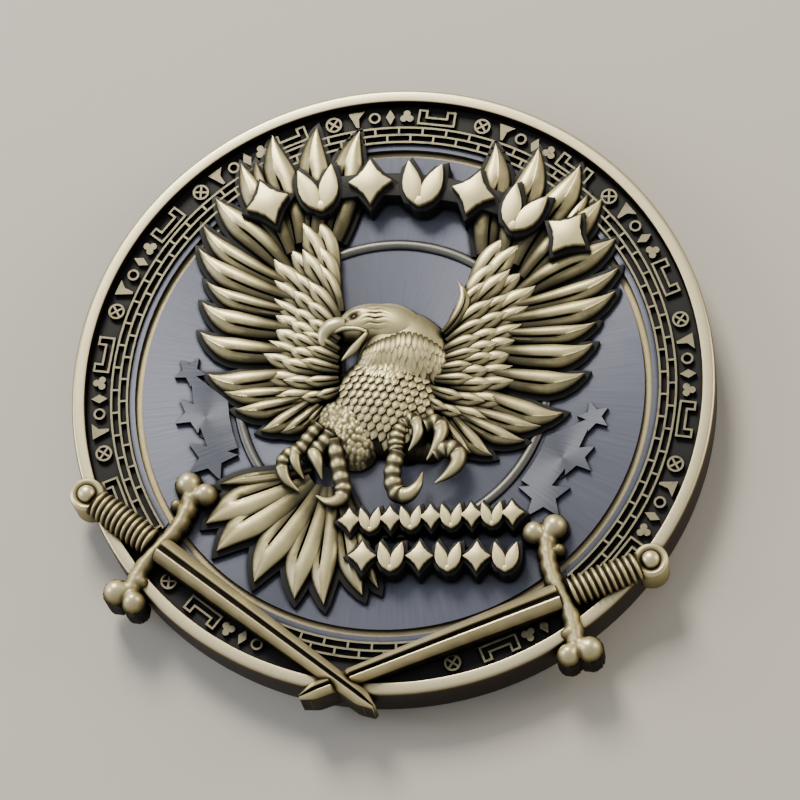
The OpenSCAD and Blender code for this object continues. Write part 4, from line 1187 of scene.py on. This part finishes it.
        def height(xs: np.ndarray, ys: np.ndarray) -> tuple[np.ndarray, np.ndarray]:
            """Gives the height and relief of the head.

            Args:
                xs: x of the spots in mm.
                ys: y of the spots in mm.

            Returns:
                Heights in mm and reliefs.
            """
            h = blended(self.head, xs, ys)
            along = (xs - ex) * 0.9 + (ys - ey) * 0.44
            across = -(xs - ex) * 0.44 + (ys - ey) * 0.9
            brow = np.exp(-((across - 0.42) / 0.2) ** 2 - (along / 0.9) ** 2)
            socket = np.exp(-((along + 0.05) / 0.42) ** 2 - (across / 0.26) ** 2)
            lore = np.exp(-((xs - ex + 0.75) / 0.3) ** 2 - ((ys - ey + 0.45) / 0.25) ** 2)
            mouth = np.exp(-((xs + 3.6) / 1.1) ** 2 - ((ys - 2.95) / 0.4) ** 2)
            cheek = np.exp(-((xs + 1.9) / 0.8) ** 2 - ((ys - 4.9) / 0.95) ** 2)
            bend = across + 0.12 * along**2 + 0.06 * np.sin(5 * along)
            streak = cheek * np.clip(np.cos(2 * math.pi * bend / 0.46), 0, 1) ** 2
            z_out = LEVELS.field + h + 0.16 * brow - 0.3 * socket - 0.15 * lore - 0.6 * mouth
            z_out = z_out - 0.1 * streak
            tone = 0.9 - 0.75 * socket - 0.5 * lore - 0.9 * mouth + 0.1 * brow - 0.75 * streak
            return z_out, np.clip(np.where(h > 0.4, tone, 0.1), 0, 1)

        piece.skin((-5.8, 2.6, 2.2, 7.0), 0.07, height, LEVELS.field + 0.5, flat(LEVELS.field))
        base = height_at(self.head, LEVELS.field)
        piece.finish("eagle_head", ANTIQUE_BRASS, "pale_brass", ["eagle_head"])
        beak = Piece()
        up = LEVELS.field
        beak.tube(
            [
                (-4.2, 4.3, up + 1.2), (-4.9, 4.15, up + 1.3), (-5.5, 3.8, up + 1.3),
                (-5.8, 3.2, up + 1.2), (-5.7, 2.5, up + 1.1), (-5.3, 1.75, up + 0.9),
            ],
            [0.6, 0.68, 0.64, 0.54, 0.36, 0.03],
            rings=26,
        )
        beak.tube(
            [
                (-2.3, 3.65, up + 1.95), (-3.1, 3.85, up + 1.95), (-4.2, 3.8, up + 1.75),
                (-5.1, 3.5, up + 1.4),
            ],
            [0.14, 0.15, 0.18, 0.16],
        )
        beak.finish("eagle_upper_beak", RUBBED_BRASS, "pale_brass", [])
        lower = Piece()
        lower.tube(
            [
                (-2.3, 3.65, up + 1.95), (-2.75, 2.95, up + 1.8), (-3.3, 2.2, up + 1.5),
                (-4.15, 1.3, up + 1.1),
            ],
            [0.14, 0.24, 0.32, 0.05],
        )
        lower.finish("eagle_lower_beak", RUBBED_BRASS, "pale_brass", ["lower_beak"])
        ball = Piece()
        sight = base(ex, ey) - 0.32
        ball.lathe([(0, sight - 0.2, 0.0)] + [
            (0.2 * math.cos(math.radians(a)), sight + 0.2 * math.sin(math.radians(a)), 0.5)
            for a in range(0, 91, 15)
        ], steps=24, at=self.eye)
        ball.finish("eagle_eye", GREY_BRASS, "dark_bronze", ["eagle_eye"])


@dataclass(frozen=True)
class Toe:
    """A ringed toe that ends in a smooth curved talon."""

    path: tuple[tuple[float, float, float], ...]
    radii: tuple[float, ...]
    rings: float = 4.0
    horn: float = 0.55
    ceiling: float = 2.28

    def add_to(self, piece: Piece, base: float) -> None:
        """Adds the toe to a piece.

        Args:
            piece: the piece that takes it.
            base: height in mm its path heights start from.
        """
        radii = [1.32 * r for r in self.radii]
        points = [(x, y, base + min(z, self.ceiling - r)) for (x, y, z), r in zip(self.path, radii)]

        def ridge(s: float, a: float) -> float:
            """Gives how far a ring of the toe stands out."""
            return 0.055 * math.cos(2 * math.pi * self.rings * s / self.horn) * (s < self.horn)

        def tone(s: float, a: float, up: float) -> float:
            """Gives the relief along the toe and its talon, paler on the upper side, a painted
            light from above.
            """
            crest = 1.0 if s >= self.horn else 0.66 + 0.34 * math.cos(
                2 * math.pi * self.rings * s / self.horn
            )
            return max(0.0, 0.1 + 0.9 * up) * crest

        piece.tube(points, radii, rings=44, ridge=ridge, tone=tone)


@dataclass(frozen=True)
class Foot:
    """One foot of the eagle."""

    name: str
    nodes: tuple[str, ...]
    toes: tuple[Toe, ...]
    palm: tuple[Ball, ...]

    def build(self) -> None:
        """Builds the foot."""
        piece = Piece()
        for toe in self.toes:
            toe.add_to(piece, LEVELS.field)
        xs = [b.x for b in self.palm]
        ys = [b.y for b in self.palm]
        reach = max(max(b.a, b.b) for b in self.palm)

        def height(px: np.ndarray, py: np.ndarray) -> tuple[np.ndarray, np.ndarray]:
            """Gives the height and relief of the palm."""
            h = blended(self.palm, px, py)
            return LEVELS.field + h, 0.15 + 0.15 * h

        piece.skin(
            (min(xs) - reach, min(ys) - reach, max(xs) + reach, max(ys) + reach), 0.1, height,
            LEVELS.field + 0.3, flat(LEVELS.field),
        )
        piece.finish(self.name, ANTIQUE_BRASS, "pale_brass", self.nodes)


LEFT_FOOT = Foot(
    "eagle_left_foot",
    ("left_foot",),
    (
        Toe(
            (
                (-4.7, -4.3, 1.9), (-5.3, -5.2, 2.0), (-5.8, -6.2, 2.0), (-6.3, -6.9, 1.9),
                (-6.0, -7.8, 1.8), (-5.3, -8.7, 1.4),
            ),
            (0.4, 0.42, 0.46, 0.44, 0.28, 0.03),
        ),
        Toe(
            (
                (-6.1, -6.5, 1.7), (-6.9, -7.1, 1.9), (-7.1, -8.0, 1.8), (-6.6, -9.0, 1.7),
                (-5.5, -9.7, 1.3),
            ),
            (0.36, 0.42, 0.42, 0.28, 0.03), rings=3,
        ),
        Toe(
            (
                (-3.8, -4.8, 2.1), (-4.3, -5.8, 2.2), (-4.8, -6.5, 2.2), (-4.4, -7.4, 2.0),
                (-3.9, -8.6, 1.5),
            ),
            (0.5, 0.5, 0.5, 0.34, 0.03), rings=3,
        ),
        Toe(
            (
                (-3.6, -5.2, 1.9), (-3.1, -6.6, 2.0), (-2.6, -8.0, 2.0), (-2.15, -9.2, 1.9),
                (-2.3, -10.1, 1.8), (-3.2, -10.3, 1.6), (-4.3, -9.8, 1.3),
            ),
            (0.42, 0.46, 0.5, 0.52, 0.42, 0.25, 0.03), rings=5, horn=0.62,
        ),
    ),
    (Ball(-4.4, -5.2, 1.3, 1.0, 1.9), Ball(-5.2, -6.0, 1.0, 1.0, 1.5)),
)
RIGHT_FOOT = Foot(
    "eagle_right_foot",
    ("right_foot", "right_talons"),
    (
        Toe(
            ((1.7, -3.4, 1.6), (1.35, -4.3, 2.0), (1.35, -5.3, 2.0), (1.6, -6.0, 1.7)),
            (0.45, 0.5, 0.5, 0.3), rings=5, horn=0.98,
        ),
        Toe(
            (
                (1.6, -3.5, 2.0), (2.2, -3.05, 2.3), (2.75, -3.5, 2.3), (2.85, -4.5, 2.0),
                (2.3, -5.6, 1.6),
            ),
            (0.42, 0.5, 0.42, 0.28, 0.03), rings=2, horn=0.4,
        ),
        Toe(
            (
                (3.2, -3.5, 1.7), (4.1, -3.05, 2.1), (4.6, -3.7, 2.2), (4.45, -4.9, 1.9),
                (3.8, -6.1, 1.5),
            ),
            (0.42, 0.55, 0.46, 0.3, 0.03), rings=2, horn=0.4,
        ),
        Toe(
            (
                (4.3, -5.7, 1.5), (5.1, -5.0, 1.9), (6.0, -5.2, 2.1), (6.25, -6.0, 2.0),
                (5.7, -7.0, 1.7), (4.6, -7.85, 1.3),
            ),
            (0.4, 0.55, 0.56, 0.46, 0.3, 0.03), rings=3, horn=0.45,
        ),
        Toe(
            (
                (1.6, -5.6, 1.7), (1.4, -6.8, 1.9), (1.5, -8.0, 1.9), (2.1, -9.0, 1.8),
                (2.9, -9.0, 1.8), (3.5, -8.2, 1.7), (3.65, -6.9, 1.3),
            ),
            (0.5, 0.5, 0.54, 0.58, 0.46, 0.28, 0.03), rings=5, horn=0.6,
        ),
    ),
    (Ball(2.3, -4.9, 1.4, 1.0, 1.2), Ball(3.6, -4.9, 1.1, 0.9, 1.1)),
)


class Motif(Enum):
    """Plain generic ornaments."""

    LOZENGE = "lozenge"
    LEAVES = "leaves"


@dataclass(frozen=True)
class OrnamentRow:
    """A row of polished ornaments, each on a black stepped plate."""

    name: str
    plate_node: str
    marks_node: str
    frames: tuple[tuple[float, float, float], ...]
    size: float
    grow: float = 0.32

    def _outlines(self, motif: Motif, grow: float) -> list[list[Point]]:
        """Gives the outlines of one ornament about the origin, grown by some mm.

        Args:
            motif: the ornament.
            grow: how far the outlines stand outside it, in mm.

        Returns:
            One list of points for each loop.
        """
        h, w = self.size, 0.92 * self.size
        if motif is Motif.LOZENGE:
            waist = 0.2 * w + grow
            long, wide = h / 2 + 1.6 * grow, w / 2 + 1.6 * grow
            out = [(0, -long), (waist, -waist), (wide, 0), (waist, waist), (0, long)]
            out += [(-waist, waist), (-wide, 0), (-waist, -waist)]
            ring = [tuple(polar(0.29 * h + grow, a)) for a in range(0, 360, 20)]
            return [out, ring]
        leaf = []
        for k in range(12):
            t = k / 6 if k <= 6 else 2 - k / 6
            sign = 1 if k <= 6 else -1
            swell = 0.22 * w * math.sin(math.pi * t**0.8) + grow
            leaf.append((sign * swell, -h / 2 - grow + t * (h + 2.4 * grow)))
        made = []
        for turn, shift in ((-16, 0.24), (16, -0.24)):
            c, s = math.cos(math.radians(turn)), math.sin(math.radians(turn))
            made.append([(x * c - y * s + shift * w, x * s + y * c) for x, y in leaf])
        bead = [(x, y - 0.4 * h) for x, y in (polar(0.12 * w + grow, a) for a in range(0, 360, 30))]
        return [*made, bead]

    def build(self, seat: float, join: Sequence[Point] = ()) -> None:
        """Builds the plate and the ornaments.

        Args:
            seat: height of the top of the plates in mm.
            join: outline of a band that joins the plates.
        """
        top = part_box(self.marks_node)[1].z / MM
        plate, marks = Piece(), Piece()
        for i, (x, y, turn) in enumerate(self.frames):
            motif = Motif.LOZENGE if i % 2 == 0 else Motif.LEAVES
            c, s = math.cos(math.radians(turn)), math.sin(math.radians(turn))
            for k, (grown, plain) in enumerate(
                zip(self._outlines(motif, self.grow), self._outlines(motif, 0.0))
            ):
                put = [
                    [(x + p * c - q * s, y + p * s + q * c) for p, q in o] for o in (grown, plain)
                ]
                plate.slab(put[0], LEVELS.field, seat - 0.004 * k, edge=0.06)
                marks.slab(put[1], seat - 0.02, top - 0.004 * k, edge=0.09)
        if join:
            plate.slab(join, LEVELS.field, seat - 0.02, edge=0.05)
        plate.finish(f"{self.name}_plate", DARK_PATINA, "dark_bronze", [self.plate_node])
        marks.finish(f"{self.name}_ornaments", POLISHED_BRASS, "pale_brass", [self.marks_node])


def arc_row(count: int, centre: Point, radius: float, step: float) -> tuple:
    """Gives places on an arc, left to right: x, y and turn in degrees.

    Args:
        count: number of places.
        centre: centre of the arc.
        radius: its radius in mm.
        step: degrees between two places.

    Returns:
        The places in order.
    """
    out = []
    for i in range(count):
        a = 90 - (i - (count - 1) / 2) * step
        x, y = polar(radius, a)
        out.append((centre[0] + x, centre[1] + y, a - 90))
    return tuple(out)


def straight_row(start: Point, end: Point, count: int) -> tuple:
    """Gives places on a straight line: x, y and turn in degrees."""
    turn = math.degrees(math.atan2(end[1] - start[1], end[0] - start[0]))
    return tuple(
        (*(np.array(start) + (np.array(end) - start) * i / (count - 1)), turn) for i in range(count)
    )


@dataclass(frozen=True)
class Sword:
    """A short sword: fullered blade, bone crossguard, corded grip and pommel."""

    side: Side
    pommel: Point = (-22.6, -11.5)
    tilt: float = 29.4
    length: float = 29.2
    width: float = 2.1
    taper: float = 0.6
    rise: float = 1.2
    blade_from: float = 8.3
    guard_at: float = 7.85
    guard_span: float = 10.0
    cord_turns: int = 11

    COLUMNS = (-1, -0.97, -0.34, -0.26, -0.1, 0.1, 0.26, 0.34, 0.97, 1)
    SHAPE = (0.36, 0.45, 1.0, 0.98, 0.76, 0.76, 0.98, 1.0, 0.45, 0.36)
    TONES = (0.15, 0.6, 1.0, 0.95, 0.1, 0.1, 0.95, 1.0, 0.75, 0.3)

    @property
    def word(self) -> str:
        """Word for the side in piece names."""
        return self.side.name.lower()

    def at(self, s: float, t: float) -> Point:
        """Gives the plan point at s mm from the pommel and t mm to the side."""
        c, k = math.cos(math.radians(self.tilt)), math.sin(math.radians(self.tilt))
        x = self.pommel[0] + s * c + t * k
        y = self.pommel[1] - s * k + t * c
        return (x, y) if self.side is Side.LEFT else (-x, y)

    def ends(self) -> list[tuple[Point, float]]:
        """Gives the middle and radius of every round end of the sword."""
        lobes = [(self.at(*p), r) for p, r in self._lobes()]
        half = 0.46 * self.taper * self.width
        tip = [(self.at(self.length - d, 0), half) for d in (0.9, 1.6, 2.4)]
        return [(self.at(0.85, 0), 1.35), *lobes, *tip]

    def _lobes(self) -> list[tuple[Point, float]]:
        """Gives the lobes of the crossguard in sword coordinates."""
        out = []
        for end in (-1, 1):
            for along, radius in ((-0.75, 1.02), (0.85, 0.9)):
                t = end * self.guard_span / 2
                out.append(((self.guard_at + along - 0.105 * t, t + 0.1 * along + 0.45), radius))
        return out

    def build(self) -> None:
        """Builds the four pieces of the sword."""
        edge = 24 * LEVELS.scale

        def foot(x: float, y: float) -> float:
            """Gives the ground under the sword, on the coin or past it."""
            return LEVELS.field if math.hypot(x, y) < edge else LEVELS.back

        self._blade(foot)
        self._guard(foot)
        self._grip()
        self._pommel()

    def _blade(self, foot: Height) -> None:
        """Lofts the blade; the right one dips under the left one.

        Args:
            foot: the ground under the sword.
        """
        piece = Piece()
        grid = range(len(self.COLUMNS))
        cross = self._crossing()

        def place(s: float, t: float) -> Placed:
            """Gives the place and relief of a spot along and across the blade.

            Args:
                s: share of the way along.
                t: share of the way across.

            Returns:
                The place in mm and its relief.
            """
            k = (t + 1) / 2 * (len(grid) - 1)
            col, shape, tone = (
                float(np.interp(k, grid, row)) for row in (self.COLUMNS, self.SHAPE, self.TONES)
            )
            d = self.blade_from + (self.length - self.blade_from) * s**0.9
            left = self.length - d
            narrow = 1 - (1 - self.taper) * (d - self.blade_from) / (self.length - self.blade_from)
            half = self.width / 2 * narrow * min(1.0, 0.3 + left / 1.6)
            fall = min(1.0, 0.55 + left / 3)
            dip = 0.0
            if self.side is Side.RIGHT and abs(d - cross) < 0.62:
                dip = 0.8
            h = max(0.2, self.rise * shape * fall - dip)
            x, y = self.at(d, col * half)
            return (x, y, LEVELS.rim + h), tone

        corners = piece.patch(60, len(grid) - 1, place)
        piece.skirt(corners, foot, 0.12)
        piece.finish(f"{self.word}_blade", GREY_BRASS, "grey_brass", [f"{self.word}_blade"])

    def _crossing(self) -> float:
        """Gives the distance along the sword at which the blades cross."""
        return -self.pommel[0] / math.cos(math.radians(self.tilt))

    def _guard(self, foot: Height) -> None:
        """Models the crossguard with a knuckle-like pair of lobes at each end.

        Args:
            foot: the ground under the sword.
        """
        turn = -self.tilt if self.side is Side.LEFT else self.tilt
        balls = [Ball(*self.at(*p), r, r, 1.62, 0, 0.4) for p, r in self._lobes()]
        for k in range(9):
            t = (k / 8 - 0.5) * 0.84 * self.guard_span
            bow = 0.2 * (1 - (t / 5) ** 2) + 0.28 * math.sin(math.pi * t / 4.2)
            p = self.at(self.guard_at - 0.105 * t + bow, t + 0.45)
            thick = 0.68 + 0.16 * abs(t / 5) ** 3
            balls.append(Ball(*p, thick, 1.0, 1.3, turn, 0.4))
        for t, aside in ((-3.3, 0.55), (3.1, -0.6)):
            place = self.at(self.guard_at - 0.105 * t + aside, t + 0.45)
            balls.append(Ball(*place, 0.5, 0.5, 1.2, 0, 0.4))
        centre = np.array(self.at(self.guard_at, 0.45))

        def height(xs: np.ndarray, ys: np.ndarray) -> tuple[np.ndarray, np.ndarray]:
            """Gives the height and relief of the guard."""
            h = blended(balls, xs, ys, 5)
            return LEVELS.field + 0.45 + h, np.clip(0.1 + 0.85 * (h - 0.5), 0.1, 1)

        reach = self.guard_span / 2 + 1.6
        x, y = centre
        piece = Piece()
        window = (x - reach, y - reach, x + reach, y + reach)
        piece.skin(window, 0.09, height, LEVELS.rim - 0.1, foot)
        name = f"{self.word}_guard"
        piece.finish(name, RUBBED_BRASS, "pale_brass", [name], crease=60)

    def _grip(self) -> None:
        """Winds the corded grip."""
        piece = Piece()
        turns = self.cord_turns

        def wound(s: float, a: float) -> float:
            """Gives the turns of the cord round the grip."""
            return math.cos(2 * math.pi * turns * s + a)

        piece.tube(
            [(*self.at(1.7 + 5.6 * k / 4, 0), LEVELS.rim + 0.08) for k in range(5)],
            [1.05, 1.1, 1.14, 1.1, 1.05], rings=132, sides=28,
            ridge=lambda s, a: 0.1 * abs(wound(s, a)) ** 0.6 * math.copysign(1, wound(s, a)),
            # The cord is paler on its upper side, a painted light from above, and darker between
            # its turns.
            tone=lambda s, a, up: (0.35 + 0.65 * max(0, up)) * min(1, 0.85 + 0.7 * wound(s, a)),
        )
        piece.finish(f"{self.word}_grip", GREY_BRASS, "grey_brass", [f"{self.word}_grip"])

    def _pommel(self) -> None:
        """Turns the pommel: a thick round foot with a dished top and a stud."""
        top = LEVELS.rim + 0.62
        profile = [
            (0, LEVELS.back, 0.0), (1.2, LEVELS.back, 0.3), (1.35, LEVELS.back + 0.15, 0.4),
            (1.35, top - 0.3, 0.6), (1.27, top - 0.1, 0.9), (1.08, top, 1.0),
            (0.86, top - 0.06, 0.5), (0.74, top - 0.1, 0.1), (0.66, top + 0.12, 0.6),
            (0.56, top + 0.34, 0.95), (0.34, top + 0.5, 1.0), (0, top + 0.55, 1.0),
        ]
        piece = Piece()
        piece.lathe(profile, steps=48, at=self.at(0.85, 0))
        piece.finish(f"{self.word}_pommel", RUBBED_BRASS, "pale_brass", [f"{self.word}_pommel"])


class Back:
    """The plain back: plate, border, bars, wreath, ring and star."""

    def dress(self) -> None:
        """Gives the nodes of the back their finishes, seen from below."""
        shown("back_plate", SLATE_BACK)
        shown("back_border", DARK_BACK)
        for node in ("back_bars", "back_wreath", "back_ring", "back_star"):
            shown(node, BRASS_BACK)


@dataclass(frozen=True)
class Studio:
    """Camera, ground, sky and three soft lamps."""

    azimuth: float = 25.0
    height: float = 68.07
    roll: float = 17.09
    distance: float = 0.3
    lens: float = 174.93
    shift: Point = (0.01165, -0.0206)

    def camera(self) -> None:
        """Sets the camera up."""
        a, e, rho = (math.radians(v) for v in (self.azimuth, self.height, self.roll))
        back = Vector((math.sin(a) * math.cos(e), -math.cos(a) * math.cos(e), math.sin(e)))
        right = Vector((math.cos(a), math.sin(a), 0))
        up = back.cross(right)
        x = math.cos(rho) * right - math.sin(rho) * up
        y = math.sin(rho) * right + math.cos(rho) * up
        data = bpy.data.cameras.new("camera")
        data.lens = self.lens
        data.sensor_width = 36
        data.shift_x, data.shift_y = self.shift
        data.clip_start = 0.01
        seen = bpy.data.objects.new("camera", data)
        bpy.context.scene.collection.objects.link(seen)
        turn = Matrix((x, y, back)).transposed().to_4x4()
        aim = Vector((0, 0, LEVELS.rim * MM))
        seen.matrix_world = Matrix.Translation(aim + back * self.distance) @ turn
        bpy.context.scene.camera = seen

    def lamp(self, name: str, at: Sequence[float], size: float, watts: float, tint: str) -> None:
        """Hangs one soft square lamp aimed at the coin.

        Args:
            name: name of the lamp.
            at: its place in metres.
            size: side of the square in metres.
            watts: its power.
            tint: sRGB hex of its light.
        """
        data = bpy.data.lights.new(name, "AREA")
        data.size = size
        data.energy = watts
        data.color = linear(tint)[:3]
        lamp = bpy.data.objects.new(name, data)
        lamp.location = at
        lamp.rotation_euler = (-Vector(at)).to_track_quat("-Z", "Y").to_euler()
        bpy.context.scene.collection.objects.link(lamp)

    def build(self) -> None:
        """Builds the studio."""
        self.camera()
        self.lamp("sky_panel", (-0.16, 0.3, 0.32), 0.16, 2.1, "#FFF6E2")
        self.lamp("side_panel", (-0.42, -0.02, 0.2), 0.2, 0.8, "#F2F4FF")
        self.lamp("low_panel", (0.4, 0.2, 0.16), 0.18, 0.7, "#FFEBD0")
        world = bpy.data.worlds.new("pale_room")
        world.use_nodes = True
        world.node_tree.nodes["Background"].inputs[0].default_value = linear("#C9C8C4")
        world.node_tree.nodes["Background"].inputs[1].default_value = 0.55
        bpy.context.scene.world = world
        ground = Piece()
        ground.patch(2, 2, lambda s, t: (((s - 0.5) * 3000, t * 1500, 0.0), 0.0))
        mesh = bpy.data.meshes.new("ground")
        ground.bm.to_mesh(mesh)
        ground.bm.free()
        mesh.materials.append(PaleGround().build())
        floor = bpy.data.objects.new("ground", mesh)
        bpy.context.scene.collection.objects.link(floor)


def main() -> None:
    """Builds the looks of the coin in order and reports by logging."""
    logging.basicConfig(level=logging.INFO, format="%(name)s %(message)s")
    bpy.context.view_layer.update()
    for finish in FINISHES:
        finish.build()
    swords = [Sword(side) for side in Side]
    Blank().build(swords)
    Field().build()
    for side in Side:
        Wing(side).build()
    Tail().build()
    Eagle().build()
    LEFT_FOOT.build()
    RIGHT_FOOT.build()
    title = arc_row(7, (0, -8.9), 25.4, 9.3)
    edges = ((26.3, range(-15, 16, 2)), (24.4, range(15, -16, -2)))
    band = [polar(r, 90 + a) for r, turns in edges for a in turns]
    band = [(x, y - 8.9) for x, y in band]
    OrnamentRow("title", "title_plate", "title_marks", title, 3.8).build(LEVELS.title, band)
    upper = straight_row((-1.2, -11.7), (11, -9.6), 9)
    row = OrnamentRow("upper_row", "upper_row_plate", "upper_row_marks", upper, 2.0, 0.22)
    row.build(LEVELS.row)
    lower = straight_row((0.2, -14.4), (11, -13.1), 6)
    row = OrnamentRow("lower_row", "lower_row_plate", "lower_row_marks", lower, 2.4, 0.25)
    row.build(LEVELS.row)
    for sword in swords:
        sword.build()
    Back().dress()
    Studio().build()


if __name__ == "__main__":
    main()
